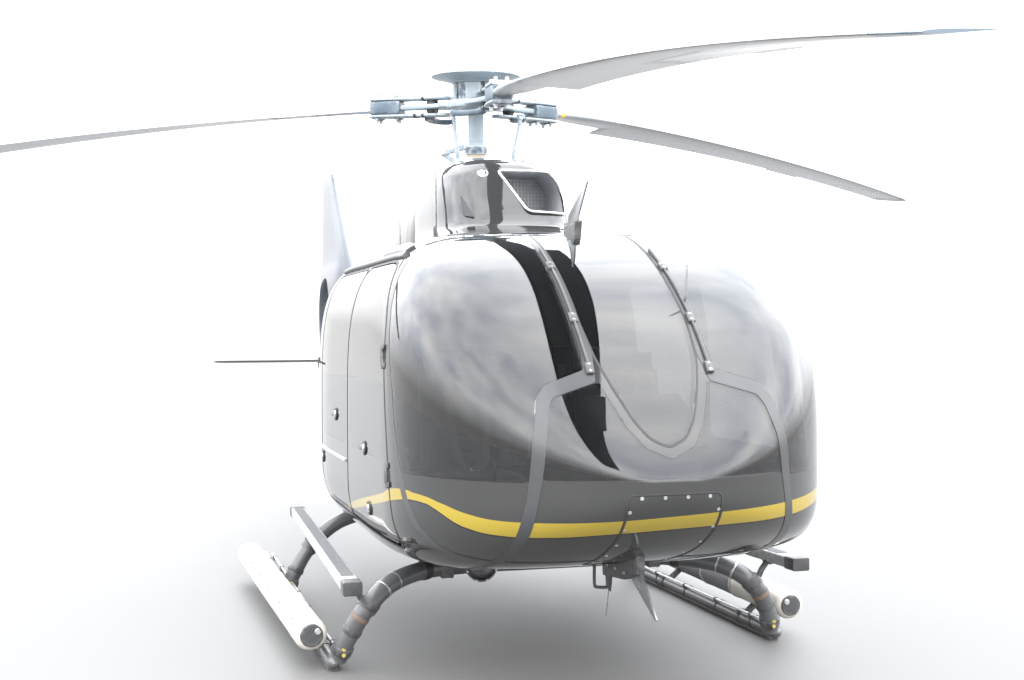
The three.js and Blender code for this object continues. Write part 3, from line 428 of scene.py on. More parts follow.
ringTurns = sectionTurns(fuselage["around"])


def bodyRing(y, inset=0.0):
    width, middle, up, down = bodySection(y, inset)
    c, s = np.cos(ringTurns), np.sin(ringTurns)
    power = np.where(s >= 0, 2 / fuselage["upperPower"], 2 / fuselage["lowerPower"])
    height = np.where(s >= 0, up, down) * np.sign(s) * np.abs(s) ** power
    return np.stack([width * np.sign(c) * np.abs(c) ** power, np.full_like(c, y), middle + height], axis=1)


def cabinForm(name, inset, rear=None):
    rear = fuselage["bulkhead"] if rear is None else rear
    nose, end = fuselage["nose"] + inset + 0.0006, -1.5
    turn = np.linspace(0, math.pi / 2, fuselage["noseSteps"])
    stations = [end - (end - nose) * math.cos(t) for t in turn]
    stations += list(np.linspace(end, rear, 14)[1:])
    return loft(name, [bodyRing(y, inset) for y in stations])


def rearForm(name, inset, front, rear=None):
    rear = fuselage["boomStart"] - 0.0004 if rear is None else rear
    return loft(name, [bodyRing(y, inset) for y in np.linspace(front, rear, 26)])


def bodyNormals(points, inset):
    # outward directions of the smooth form at points near it
    def level(p):
        width, middle, up, down = bodySection(p[:, 1], inset)
        above = p[:, 2] >= middle
        half = np.where(above, up, down)
        power = np.where(above, fuselage["upperPower"], fuselage["lowerPower"])
        return (np.abs(p[:, 0]) / width) ** power + (np.abs(p[:, 2] - middle) / half) ** power
    step = 0.0015
    slopes = [level(points + step * axis) - level(points - step * axis) for axis in np.eye(3)]
    normals = np.stack(slopes, axis=1)
    return normals / np.maximum(1e-9, np.linalg.norm(normals, axis=1))[:, None]


def meshArrays(mesh):
    spots = np.zeros(len(mesh.vertices) * 3)
    mesh.vertices.foreach_get("co", spots)
    normals = np.zeros(len(mesh.polygons) * 3)
    mesh.polygons.foreach_get("normal", normals)
    corners = np.zeros(len(mesh.loops), int)
    mesh.loops.foreach_get("vertex_index", corners)
    starts = np.zeros(len(mesh.polygons), int)
    totals = np.zeros(len(mesh.polygons), int)
    mesh.polygons.foreach_get("loop_start", starts)
    mesh.polygons.foreach_get("loop_total", totals)
    owner = np.zeros(len(mesh.loops), int)
    owner[starts] = 1
    owner = np.cumsum(owner) - 1
    return spots.reshape(-1, 3) - shift, normals.reshape(-1, 3), corners, owner


def smoothSkin(obj, insets):
    # corners of the outer and inner faces take the form's own direction, the cut edges stay flat
    mesh = obj.data
    spots, faceNormals, corners, owner = meshArrays(mesh)
    loopNormals = faceNormals[owner]
    for inset in insets:
        exact = bodyNormals(spots[corners], inset)
        facing = np.sum(exact * faceNormals[owner], axis=1)
        inward = facing < -0.75
        chosen = (facing > 0.75) if inset == insets[0] else inward
        loopNormals = np.where(chosen[:, None], exact * np.where(inward, -1, 1)[:, None], loopNormals)
    mesh.shade_smooth()
    mesh.normals_split_custom_set([tuple(n) for n in loopNormals])


# Outlines on the skin, as (y, z) seen from the side and (x, z) seen from ahead
doorRake = 0.2
postLine = [(-1.95, 2.4), (-1.979, 2.016), (-2.111, 1.86), (-2.216, 1.712), (-2.287, 1.566), (-2.356, 1.413),
            (-2.395, 1.251), (-2.449, 1.093), (-2.53, 0.938), (-2.593, 0.848), (-2.645, 0.79)]
postHalf = 0.03


def doorFrontAt(z):
    return -2.19 + doorRake * (z - 1.64)


doorSill, swingDip = 0.7, 0.008      # the raked hinge lets the door's lower edge dip as it swings
doorCorner, paneCorner, centreCorner = 0.09, 0.02, 0.03
frontDoorOutline = [
    (doorFrontAt(0.7), 0.7), (-1.18, 0.7), (-1.18, 2.01), (-1.905, 2.01), (-2.04, 1.86),
    (doorFrontAt(1.69), 1.69)]
frontGlassOutline = [(doorFrontAt(1.08) + 0.07, 1.08), (-1.25, 1.08)] + list(grown(frontDoorOutline, -0.07)[2:])
rearDoorOutline = [(-1.176, 0.7), (-0.06, 0.7), (-0.06, 2.01), (-1.176, 2.01)]
rearGlassOutline = [(y, max(z, 1.08)) for y, z in grown(rearDoorOutline, -0.07)]
bayDoorOutline = [(0.33, 0.86), (1.13, 0.95), (1.13, 1.48), (0.33, 1.48)]
centreHalf = [(0, 1.19), (0.078, 1.224), (0.132, 1.296), (0.187, 1.422), (0.234, 1.56), (0.252, 1.7),
              (0.25, 2.4)]
centreOutline = [(-x, z) for x, z in centreHalf[:0:-1]] + centreHalf
lowerOutline = [(-0.54, 1.062), (0.54, 1.062), (0.52, 1.228), (0.492, 1.35), (0.467, 1.392), (0.262, 1.452),
                (-0.262, 1.452), (-0.467, 1.392), (-0.492, 1.35), (-0.52, 1.228)]
sideOutline = [(0.586, 1.05), (1.4, 1.05), (1.4, 2.4), (0.297, 2.4), (0.3, 1.508), (0.484, 1.448),
               (0.532, 1.396), (0.57, 1.228)]
hatchOutline = [(-0.185, 0.618), (0.185, 0.618), (0.206, 0.72), (0.206, 0.985), (0.19, 1.0), (-0.19, 1.0),
                (-0.206, 0.985), (-0.206, 0.72)]


# how far the cutters of windows and doors reach: ahead of the nose, outward, and back to two depths
noseAhead, sideReach, noseEnd, cabinEnd = -3.6, 1.4, -2.5, -1.7


def aheadOfPosts(gap):
    line = [(y - postHalf - gap, z) for y, z in postLine[::-1]]
    return prism([(noseAhead, 0.79)] + line + [(noseAhead, 2.4)], -sideReach, sideReach, "x")


def sidePrism(corners, radius, side=1, low=0.5):
    return prism(corners, *sorted((side * low, side * sideReach)), "x", radius)


def frontPrism(corners, radius=0.0, rear=cabinEnd):
    return prism(corners, noseAhead, rear, "y", radius)


def wallShell(name):
    outer = cabinForm(name, 0.0)
    return combine(outer, [cabinForm("inner", fuselage["wall"], fuselage["bulkhead"] - fuselage["wall"])])


def paneShell(name):
    return combine(cabinForm(name, 0.0), [cabinForm("inner", fuselage["pane"], fuselage["bulkhead"])])


gap = {"seam": 0.003, "door": 0.006, "glass": 0.0006, "band": 0.044}


# Paint with the gold stripe that runs round the nose and down the doors
stripe = {
    "gold": (0.3, 0.215, 0.016), "line": (0.004, 0.004, 0.005), "span": 3.6, "base": 0.45, "height": 0.6,
    # place along the stripe (x ahead, then along the side), top edge, bottom edge
    "rows": [(-3.2, 0.6, 0.66), (-2.424, 0.768, 0.738), (-1.49, 0.918, 0.876), (-1.06, 0.978, 0.935),
             (-0.973, 0.972, 0.94), (-0.889, 0.944, 0.9), (-0.79, 0.906, 0.845), (-0.69, 0.889, 0.825),
             (-0.58, 0.886, 0.82), (-0.23, 0.892, 0.832), (0.0, 0.904, 0.843), (0.23, 0.917, 0.855),
             (0.56, 0.932, 0.868), (0.8, 0.951, 0.893), (0.92, 0.975, 0.924), (1.06, 0.99, 0.95),
             (1.49, 0.93, 0.89), (2.424, 0.768, 0.738), (3.2, 0.6, 0.66)],
}


def stripeGroup():
    group, given, out = newGroup("doorAndNoseStripe", {"Edge": 0.0012}, {"Stripe": float, "Line": float})
    spot = group.nodes.new("ShaderNodeTexCoord")
    parts = group.nodes.new("ShaderNodeSeparateXYZ")
    group.links.new(spot.outputs["Object"], parts.inputs[0])
    x = mathNode(group, "SUBTRACT", parts.outputs["X"], float(shift[0]))
    y = mathNode(group, "SUBTRACT", parts.outputs["Y"], float(shift[1]))
    z = parts.outputs["Z"]
    behind = mathNode(group, "MAXIMUM", mathNode(group, "ADD", y, 2.6), 0.0)
    along = mathNode(group, "ADD", x, mathNode(group, "MULTIPLY", behind, mathNode(group, "SIGN", x)))
    place = mapRange(group, along, -stripe["span"], stripe["span"])
    edges = []
    for column in (1, 2):
        curve = group.nodes.new("ShaderNodeFloatCurve")
        spots = curve.mapping.curves[0].points
        rows = [((row[0] + stripe["span"]) / (2 * stripe["span"]),
                 (row[column] - stripe["base"]) / stripe["height"]) for row in stripe["rows"]]
        spots[0].location, spots[1].location = (0.0, rows[0][1]), (1.0, rows[-1][1])
        for row in rows:
            spots.new(*row)
        curve.mapping.update()
        group.links.new(place, curve.inputs["Value"])
        edges.append(mathNode(group, "ADD", mathNode(group, "MULTIPLY", curve.outputs[0], stripe["height"]),
                              stripe["base"]))
    top, bottom = edges
    def above(value, edge):
        steep = mathNode(group, "DIVIDE", mathNode(group, "SUBTRACT", value, edge), given.outputs["Edge"])
        return mathNode(group, "ADD", steep, 0.5, clamp=True)
    inside = mathNode(group, "MULTIPLY", above(z, bottom), above(top, z))
    group.links.new(inside, out.inputs["Stripe"])
    under = mathNode(group, "MULTIPLY", above(z, mathNode(group, "SUBTRACT", bottom, 0.007)), above(bottom, z))
    group.links.new(under, out.inputs["Line"])
    return group


def stripedMaterial(name, **settings):
    made = material(name, **settings)
    tree = made.node_tree
    paint = tree.nodes["Principled BSDF"].inputs["Base Color"]
    bands = addNode(tree, "ShaderNodeGroup", node_tree=stripeGroup())
    lined = mixColor(tree, bands.outputs["Line"], paint.links[0].from_socket, stripe["line"])
    tree.links.new(mixColor(tree, bands.outputs["Stripe"], lined, stripe["gold"]), paint)
    return made


def glassMaterial(name, **settings):
    made = material(name, **settings)
    surface = made.node_tree.nodes["Principled BSDF"]
    surface.inputs["Transmission Weight"].default_value = 1.0
    surface.inputs["IOR"].default_value = 1.49
    return made


blackGloss = dict(color=(0.021, 0.021, 0.0205), other=(0.026, 0.026, 0.0255), patch=2, roughness=0.05,
    change=0.03, grain=7, bump=0.02, depth=0.004, coat=0.15)
blackPaint = stripedMaterial("gloss black paint with gold stripe", **blackGloss)
bandGrey = material("grey glazing band", color=(0.034, 0.035, 0.037), other=(0.042, 0.043, 0.045), patch=6,
    roughness=0.32, change=0.1, grain=300, bump=0.08)
smokedAcrylic = glassMaterial("smoked acrylic", color=(0.26, 0.265, 0.27), other=(0.3, 0.305, 0.31), patch=1.3,
    roughness=0.015, change=0.01, grain=1.6, bump=0.03, depth=0.002, amount=0.5)


# Cabin panels and panes
def panelPair(name, obj, body, finish, nodes, insets, sideBody=False):
    for side, sign in sides.items():
        piece = copyOf(obj, f"{name}_{side}")
        if sign < 0:
            flipX(piece)
        smoothSkin(piece, insets)
        finishPiece(piece, f"{body}_{side}" if sideBody else body, finish, [f"{n}_{side}" for n in nodes],
                    None)
    bpy.data.objects.remove(obj)


def makeCabin():
    wall, skin = wallShell("wallShell"), paneShell("paneShell")
    solid, thin = (0.0, fuselage["wall"]), (0.0, fuselage["pane"])
    body = "airframe"
    both = []
    for side in sides.values():
        both += [combine(frontPrism([(side * x, z) for x, z in sideOutline[::side]], paneCorner),
                         [aheadOfPosts(0)], "INTERSECT"),
                 sidePrism(grown(frontDoorOutline, gap["door"]), doorCorner, side),
                 sidePrism(rearDoorOutline, doorCorner, side)]
    lower = combine(frontPrism(lowerOutline, paneCorner, noseEnd),
                    [frontPrism(grown(centreOutline, gap["band"]))])
    centre = combine(frontPrism(centreOutline, centreCorner), [aheadOfPosts(0)], "INTERSECT")
    shell = combine(copyOf(wall, "cabin_shell"),
                    [centre, lower, frontPrism(hatchOutline, paneCorner, noseEnd)] + both)
    smoothSkin(shell, solid)
    fixed(shell, blackPaint, None, nodes=["cabin_frame"])

    edge = gap["glass"]
    pane = combine(copyOf(skin, "centre_pane"), [frontPrism(grown(centreOutline, -edge), centreCorner),
                                                 aheadOfPosts(edge)], "INTERSECT")
    smoothSkin(pane, thin)
    fixed(pane, smokedAcrylic, None, nodes=["windshield_centre"])
    cutter = combine(frontPrism(grown(lowerOutline, -edge), paneCorner, noseEnd),
                     [frontPrism(grown(centreOutline, gap["band"] + edge))])
    pane = combine(copyOf(skin, "chin_pane"), [cutter], "INTERSECT")
    smoothSkin(pane, thin)
    fixed(pane, smokedAcrylic, None, nodes=["lower_pane"])
    pane = combine(copyOf(skin, "side_pane"), [frontPrism(grown(sideOutline, -edge), paneCorner),
                                               aheadOfPosts(edge)], "INTERSECT")
    panelPair("side_pane", pane, body, smokedAcrylic, ["windshield"], thin)
    hatch = combine(copyOf(wall, "hatch"), [frontPrism(grown(hatchOutline, -gap["seam"]), paneCorner, noseEnd)],
                    "INTERSECT")
    smoothSkin(hatch, solid)
    fixed(hatch, blackPaint, None, nodes=["nose_hatch"])

    panel = [(y, max(z, doorSill + swingDip)) for y, z in frontDoorOutline]
    door = combine(copyOf(wall, "door"), [sidePrism(panel, doorCorner)], "INTERSECT")
    combine(door, [sidePrism(frontGlassOutline, doorCorner)])
    panelPair("front_door_panel", door, "front_door", blackPaint, ["front_door"], solid, True)
    pane = combine(copyOf(skin, "pane"), [sidePrism(grown(frontGlassOutline, -edge), doorCorner)], "INTERSECT")
    panelPair("front_door_glass", pane, "front_door", smokedAcrylic, ["front_door_pane"],
              thin, True)
    door = combine(copyOf(wall, "door"), [sidePrism(grown(rearDoorOutline, -gap["seam"]), doorCorner)],
                   "INTERSECT")
    combine(door, [sidePrism(rearGlassOutline, doorCorner)])
    panelPair("rear_door_panel", door, body, blackPaint, ["rear_door"], solid)
    pane = combine(copyOf(skin, "pane"), [sidePrism(grown(rearGlassOutline, -edge), doorCorner)], "INTERSECT")
    panelPair("rear_door_glass", pane, body, smokedAcrylic, ["rear_door_pane"], thin)
    for shellUsed in (wall, skin):
        bpy.data.objects.remove(shellUsed)


makeCabin()
print("stage: cabin panels and panes")


# Rear fuselage with its bays, fairing, cowl and tail
def smoothTable(rows, steps):
    # rows of (place, values...) filled in with curves that never overshoot
    rows = np.asarray(rows, float)
    place, values = rows[:, 0], rows[:, 1:]
    spans = np.diff(place)[:, None]
    slopes = np.diff(values, axis=0) / spans
    before, after = slopes[:-1], slopes[1:]
    total = np.where(np.abs(before + after) < 1e-9, 1.0, before + after)
    inner = np.where(before * after > 0, 2 * before * after / total, 0.0)
    tangents = np.vstack([slopes[:1], inner, slopes[-1:]])
    out = []
    for i in range(len(rows) - 1):
        for t in np.linspace(0, 1, steps, endpoint=False):
            h = spans[i]
            curve = ((2 * t ** 3 - 3 * t ** 2 + 1) * values[i] + (t ** 3 - 2 * t ** 2 + t) * h * tangents[i]
                     + (3 * t ** 2 - 2 * t ** 3) * values[i + 1] + (t ** 3 - t ** 2) * h * tangents[i + 1])
            out.append([place[i] + t * h[0], *curve])
    out.append(list(rows[-1]))
    return np.array(out)


def superRing(across, up, power, count=120):
    # one round of a superellipse; up is one half height or (above, below)
    turn = np.linspace(0, 2 * math.pi, count, endpoint=False)
    c, s = np.cos(turn), np.sin(turn)
    above, below = np.broadcast_to(up, (2,))
    return (across * np.sign(c) * np.abs(c) ** (2 / power),
            np.where(s >= 0, above, below) * np.sign(s) * np.abs(s) ** (2 / power))


def formNormals(obj, forms):
    # a cut piece keeps the soft shading of the whole forms it was cut from
    mesh = obj.data
    spots, faceNormals, corners, owner = meshArrays(mesh)
    loopNormals = faceNormals[owner].copy()
    for form in forms:
        whole = form.data
        places = [v.co.copy() for v in whole.vertices]
        normals = [v.normal.copy() for v in whole.vertices]
        rounds = [tuple(p.vertices) for p in whole.polygons]
        tree = BVHTree.FromPolygons(places, rounds)
        for i, corner in enumerate(corners):
            flat = Vector(faceNormals[owner[i]])
            point = Vector(spots[corner] + shift)
            near, _, index, _ = tree.find_nearest(point, 0.0008)
            if near is None:
                continue
            ring = rounds[index]
            if len(ring) > 4:
                continue
            weights = poly_3d_calc([places[v] for v in ring], near)
            soft = sum((normals[v] * w for v, w in zip(ring, weights)), Vector())
            facing = soft.normalized().dot(flat)
            if abs(facing) > 0.8:
                loopNormals[i] = soft.normalized() * (1 if facing > 0 else -1)
    mesh.shade_smooth()
    mesh.normals_split_custom_set([tuple(n) for n in loopNormals])
    for form in forms:
        bpy.data.objects.remove(form)


plainBlack = material("gloss black paint", **blackGloss)
greyPaint = material("grey tail paint", color=(0.06, 0.07, 0.084), other=(0.08, 0.09, 0.104), patch=3,
    roughness=0.34, change=0.12, grain=60, bump=0.03, coat=0.1)
darkSteel = material("dull dark steel", color=(0.09, 0.088, 0.085), other=(0.16, 0.14, 0.12), patch=14,
    roughness=0.42, change=0.3, grain=220, bump=0.12, metallic=0.9, bare=(0.4, 0.39, 0.37))
satinBlack = material("satin black", color=(0.026, 0.0265, 0.028), other=(0.04, 0.04, 0.041), patch=9,
    roughness=0.42, change=0.2, grain=260, bump=0.1, bare=(0.12, 0.12, 0.12))
rubber = material("black rubber", color=(0.012, 0.012, 0.013), other=(0.022, 0.022, 0.022), patch=20,
    roughness=0.6, change=0.2, grain=400, bump=0.15)
chrome = material("polished metal", color=(0.62, 0.63, 0.64), other=(0.5, 0.51, 0.52), patch=30,
    roughness=0.12, change=0.1, grain=300, bump=0.04, metallic=1)

rear = {"front": 0.1604, "well": ((-0.34, 0.34), (0.42, 1.95), (1.76, 2.4)), "bayCorner": 0.06,
        "bayDepth": 0.35}
fairing = {
    "levels": [     # height, front, rear, half width, corner power
        (2.08, -1.24, 0.425, 0.45, 3.2), (2.2, -1.13, 0.425, 0.43, 3.2), (2.29, -0.9, 0.425, 0.408, 3.6),
        (2.45, -0.8, 0.425, 0.396, 3.8), (2.59, -0.715, 0.425, 0.376, 3.5), (2.655, -0.655, 0.425, 0.34, 3.1),
        (2.698, -0.565, 0.425, 0.285, 2.8), (2.725, -0.44, 0.425, 0.215, 2.5)],
    "wall": 0.014, "rear": 0.422, "mastHole": 0.08, "mastY": 0.09,
    "intake": [(0.072, 2.366), (0.328, 2.36), (0.345, 2.51), (0.276, 2.622), (-0.072, 2.62)],
}
cowl = {
    "stations": [   # along, half width, top, corner power
        (0.4224, 0.398, 2.722, 3.4), (0.8, 0.405, 2.67, 3.2), (1.25, 0.392, 2.56, 3.0), (1.7, 0.36, 2.43, 2.8),
        (2.15, 0.3, 2.27, 2.6), (2.48, 0.225, 2.13, 2.4)],
    "base": 1.96, "wall": 0.014,
}
exhaust = {"from": (0, 1.56, 2.33), "to": (0, 2.24, 2.44), "outer": 0.127, "inner": 0.112}


def fairingForm(name, inset):
    rings = []
    for z, front, back, half, power in smoothTable(fairing["levels"], 7):
        x, y = superRing(half - inset, (back - front) / 2 - inset, power)
        rings.append(np.stack([x, y + (front + back) / 2, np.full_like(x, z)], axis=1))
    rings[-1][:, 2] -= inset
    return loft(name, rings)


def cowlForm(name, inset):
    rings = []
    table = smoothTable(cowl["stations"], 9)
    for i, (y, half, top, power) in enumerate(table):
        x, z = superRing(half - inset, (top - cowl["base"] - inset, 0.2), power)
        place = y + ({0: -0.005, len(table) - 1: -inset}.get(i, 0.0) if inset else 0.0)
        rings.append(np.stack([x, np.full_like(x, place), z + cowl["base"]], axis=1))
    return loft(name, rings)


def roundBar(name, start, end, radius, endRadius=None, sides=64):
    a, b = Vector(start), Vector(end)
    along = (b - a).normalized()
    rows = [(0, 0), (radius, 0), (radius if endRadius is None else endRadius, (b - a).length),
            (0, (b - a).length)]
    return turned(name, rows, start, along, sides)


def makeRearBody():
    wall = fuselage["wall"]
    shell = combine(rearForm("rear_shell", 0.0, rear["front"]),
                    [rearForm("inner", wall, rear["front"] + wall, fuselage["boomStart"] + wall)])
    opening = grown(bayDoorOutline, gap["door"])
    openings = [sidePrism(opening, rear["bayCorner"], side, rear["bayDepth"]) for side in sides.values()]
    body = combine(copyOf(shell, "rear_body"), [blockMesh(*rear["well"])] + openings)
    smoothSkin(body, (0.0, wall))
    fixed(body, plainBlack, None, nodes=["rear_fuselage"])
    inside = []
    for x, y, z in (((-0.9, 0.9), (0.165, 1.24), (1.7, 1.73)), ((-0.015, 0.015), (0.165, 1.2), (0.5, 1.71)),
                    ((-0.9, 0.9), (1.2, 1.23), (0.5, 1.71))):
        inside.append(combine(blockMesh(x, y, z), [rearForm("inner", wall - 0.002, 0.164)], "INTERSECT"))
    fixed(merged("bay_walls", inside), satinBlack)
    panel = combine(copyOf(shell, "bay_panel"), [sidePrism([(min(y, 1.125), z) for y, z in bayDoorOutline],
                                                          rear["bayCorner"], 1, rear["bayDepth"])], "INTERSECT")
    panelPair("bay_panel", panel, "bay_door", plainBlack, ["bay_door"], (0.0, wall), True)
    bpy.data.objects.remove(shell)


def makeFairingAndCowl():
    roof = [cabinForm("roof", -0.0004), rearForm("roof", -0.0004, fuselage["bulkhead"])]
    outer = fairingForm("mast_fairing_shell", 0.0)
    keep = copyOf(outer, "keep")
    shell = combine(outer, [fairingForm("inner", fairing["wall"])])
    combine(shell, [blockMesh((-1.2, 1.2), (-2.0, fairing["rear"]), (1.9, 2.9))], "INTERSECT")
    y = fairing["mastY"]
    combine(shell, [prism(fairing["intake"], -1.3, -0.3, "y", 0.03, 10),
                    roundBar("hole", (0, y, 2.66), (0, y, 2.79), fairing["mastHole"])]
            + [copyOf(r, "roofCut") for r in roof])
    formNormals(shell, [keep])
    fixed(shell, plainBlack, None, nodes=["mast_fairing"])
    outer = cowlForm("engine_cowl_shell", 0.0)
    keep = copyOf(outer, "keep")
    shell = combine(outer, [cowlForm("inner", cowl["wall"])])
    combine(shell, [blockMesh((-1.2, 1.2), (0, 3), (1.9, 3))], "INTERSECT")
    combine(shell, [roundBar("bore", exhaust["from"], exhaust["to"], exhaust["outer"] + 0.0004), roof[1]])
    formNormals(shell, [keep])
    fixed(shell, plainBlack, None, nodes=["engine_cowl"])
    bpy.data.objects.remove(roof[0])
    length = (Vector(exhaust["to"]) - Vector(exhaust["from"])).length
    o, i = exhaust["outer"], exhaust["inner"]
    rows = [(i, 0.03), (o - 0.006, 0.0), (o, 0.004), (o, length - 0.02), (o + 0.002, length - 0.012),
            (o + 0.002, length - 0.003), (o - 0.002, length), (i + 0.003, length), (i, length - 0.012),
            (i, 0.03)]
    fixed(turned("exhaust_tube", rows, exhaust["from"], Vector(exhaust["to"]) - Vector(exhaust["from"]), 72),
          darkSteel, nodes=["exhaust_pipe"])


tail = {
    "root": (2.603, 0.297, 0.372, 1.685), "tip": (5.64, 0.175, 0.21, 1.625),
    "levels": [     # height, leading edge, trailing edge, full thickness
        (1.12, 5.82, 6.56, 0.09), (1.19, 5.66, 6.8, 0.2), (1.35, 5.5, 7.0, 0.29), (1.56, 5.42, 7.09, 0.33),
        (1.742, 5.4, 7.13, 0.336), (1.93, 5.4, 7.16, 0.33), (2.14, 5.41, 7.175, 0.3), (2.29, 5.44, 7.185, 0.25),
        (2.43, 5.5, 7.19, 0.19), (2.62, 5.65, 7.195, 0.15), (3.0, 6.075, 7.203, 0.112),
        (3.34, 6.44, 7.21, 0.084), (3.395, 6.5, 7.206, 0.05)],
    "finOutline": [(0, 0), (0.03, 0.5), (0.12, 0.86), (0.3, 1), (0.55, 0.96), (0.8, 0.66), (1, 0.16)],
    "fan": (0, 6.185, 1.742),
    "lip": [(0.505, 0), (0.506, 0.1), (0.512, 0.128), (0.524, 0.148), (0.542, 0.162), (0.575, 0.176),
            (0.64, 0.2)],
    "span": 2.73, "stabiliserY": 5.06, "chord": 0.48, "stabiliserZ": 1.412, "thickness": 0.046,
    "stabiliserOutline": [(0, 0), (0.04, 0.5), (0.15, 0.92), (0.35, 1), (0.7, 0.62), (1, 0.12)],
    "sections": [(-1, 0.55), (-0.97, 0.9), (-0.9, 1), (0.9, 1), (0.97, 0.9), (1, 0.55)],
}


def wingOutline(points, steps=5):
    # (share of chord, share of thickness) made smooth, with a round leading edge
    rows = smoothTable([(math.sqrt(f), t) for f, t in points], steps)
    return [(s * s, t) for s, t in rows]


def boomForm(name, inset=0.0, finish=1.0):
    rings = []
    root, tip = np.array(tail["root"]), np.array(tail["tip"])
    for f in np.linspace(0, finish, 40):
        y, half, up, z = root + (tip - root) * f
        power = 3.6 + (2.1 - 3.6) * min(1, f * 1.6)
        x, height = superRing(half - inset, up - inset, power, 96)
        rings.append(np.stack([x, np.full_like(x, y), z + height], axis=1))
    return loft(name, rings)


def finForm(name, grow=0.0):
    outline = wingOutline(tail["finOutline"])
    rings = []
    for z, front, back, thickness in smoothTable(tail["levels"], 6):
        chord, half = back - front + 2 * grow, thickness / 2 + grow
        rows = [[(sign * t * half, front - grow + f * chord, z) for f, t in outline] for sign in (1, -1)]
        rings.append(rows[0] + rows[1][:0:-1])
    return loft(name, rings)


def stabiliserForm(name, grow=0.0):
    outline = wingOutline(tail["stabiliserOutline"])
    rings = []
    for f, scale in smoothTable(tail["sections"], 5):
        half, length = tail["thickness"] / 2 * scale + grow, tail["chord"] * (0.86 + 0.14 * scale) + 2 * grow
        rows = [[(f * tail["span"] / 2, tail["stabiliserY"] + (c - 0.4) * length,
                  tail["stabiliserZ"] + sign * t * half) for c, t in outline] for sign in (1, -1)]
        rings.append(rows[0] + rows[1][:0:-1])
    return loft(name, rings)


def makeTail():
    boom = boomForm("tail_boom_skin")
    keep = copyOf(boom, "keep")
    combine(boom, [finForm("fin", 0.0005), stabiliserForm("stabiliser", 0.0005)])
    formNormals(boom, [keep])
    fixed(boom, plainBlack, None, nodes=["tail_boom"])
    fin = finForm("fin_skin")
    lip = tail["lip"]
    rows = [(0, -0.2)] + [(r, -x) for r, x in lip[::-1]] + lip[1:] + [(0, 0.2)]
    duct = turned("duct", rows, tail["fan"], (1, 0, 0), 128)
    keeps = [copyOf(fin, "keep"), copyOf(duct, "keep")]
    combine(fin, [duct])
    formNormals(fin, keeps)
    fixed(fin, greyPaint, None, nodes=["fin_and_shroud"])
    fixed(stabiliserForm("stabiliser_skin"), plainBlack, 40, nodes=["stabiliser"])


fan = {"blades": 10, "chord": 0.062, "blade": -0.052, "half": 0.0045,
       "sections": [(0.108, 38), (0.3, 26), (0.49, 14)], "arms": (20, 140, 260)}


def makeFan():
    centre = np.array(tail["fan"])
    outline = wingOutline([(0, 0), (0.05, 0.6), (0.2, 1), (0.4, 0.95), (0.7, 0.55), (1, 0.08)], 3)
    parts = []
    for n in range(fan["blades"]):
        angle = 2 * math.pi * n / fan["blades"]
        rings = []
        for radius, pitch in smoothTable(fan["sections"], 6):
            turn = math.radians(pitch)
            ring = []
            for sign in (1, -1):
                rows = []
                for f, t in outline:
                    u, v = (f - 0.5) * fan["chord"], sign * t * fan["half"]
                    x = fan["blade"] + u * math.sin(turn) + v * math.cos(turn)
                    w = u * math.cos(turn) - v * math.sin(turn)
                    rows.append((x, w * math.cos(angle) - radius * math.sin(angle),
                                 w * math.sin(angle) + radius * math.cos(angle)))
                ring += rows if sign > 0 else rows[:0:-1]
            rings.append(np.array(ring) + centre)
        parts.append(loft("fan_blade", rings))
    hub = [(0, -0.126), (0.03, -0.125), (0.066, -0.12), (0.095, -0.108), (0.113, -0.09), (0.12, -0.07),
           (0.12, -0.012), (0.117, -0.01), (0, -0.01)]
    parts.append(turned("fan_hub", hub, centre, (1, 0, 0), 64))
    finishPiece(merged("fan_blades", parts), "tail_fan", darkSteel, ["fan_rotor"], 40)
    held = [turned("gearbox", [(0, -0.0096), (0.04, -0.0096), (0.04, 0.01), (0.1, 0.012), (0.105, 0.02),
                               (0.1, 0.09), (0.088, 0.125), (0.08, 0.13), (0, 0.13)], centre, (1, 0, 0), 64)]
    for angle in fan["arms"]:
        c, s = math.cos(math.radians(angle)), math.sin(math.radians(angle))
        held.append(rod("fan_arm", [centre + (0.07, 0.06 * c, 0.06 * s),
                                    centre + (0.07, 0.5035 * c, 0.5035 * s)], (0.034, 0.026), 24))
    fixed(merged("fan_gearbox", held), greyPaint, 40, nodes=["fan_support"])


makeRearBody()
makeFairingAndCowl()
print("stage: rear body, fairing and cowl")
makeTail()
makeFan()
print("stage: tail")


# Rotor head and blades, built in the rotor's own frame with z = 0 at the top of the dish
def moveMesh(obj, place):
    toHere = Matrix.Translation(Vector(shift))
    obj.data.transform(toHere @ place @ toHere.inverted())
    return obj


def baked(obj):
    result = bpy.data.meshes.new_from_object(obj.evaluated_get(bpy.context.evaluated_depsgraph_get()))
    obj.modifiers.clear()
    obj.data = result
    return obj


def bevelled(obj, width, segments=3):
    edge = obj.modifiers.new("edges", "BEVEL")
    edge.width, edge.segments, edge.limit_method = width, segments, "ANGLE"
    return baked(obj)


def beam(name, points, across, up, upward=(0, 0, 1), power=4.0, sides=24):
    # a bar of rounded section; up is its half height along upward, across its half width
    path = np.asarray(points, float)
    halves = [np.interp(np.linspace(0, 1, len(path)), np.linspace(0, 1, np.size(v)), np.atleast_1d(v))
              for v in (across, up)]
    tangents = np.gradient(path, axis=0)
    tangents /= np.linalg.norm(tangents, axis=1)[:, None]
    rings = []
    for spot, tangent, a, b in zip(path, tangents, *halves):
        top = np.array(upward, float) - tangent * (np.array(upward, float) @ tangent)
        top /= np.linalg.norm(top)
        side = np.cross(tangent, top)
        u, v = superRing(a, b, power, sides)
        rings.append(spot + np.outer(u, side) + np.outer(v, top))
    return loft(name, rings)


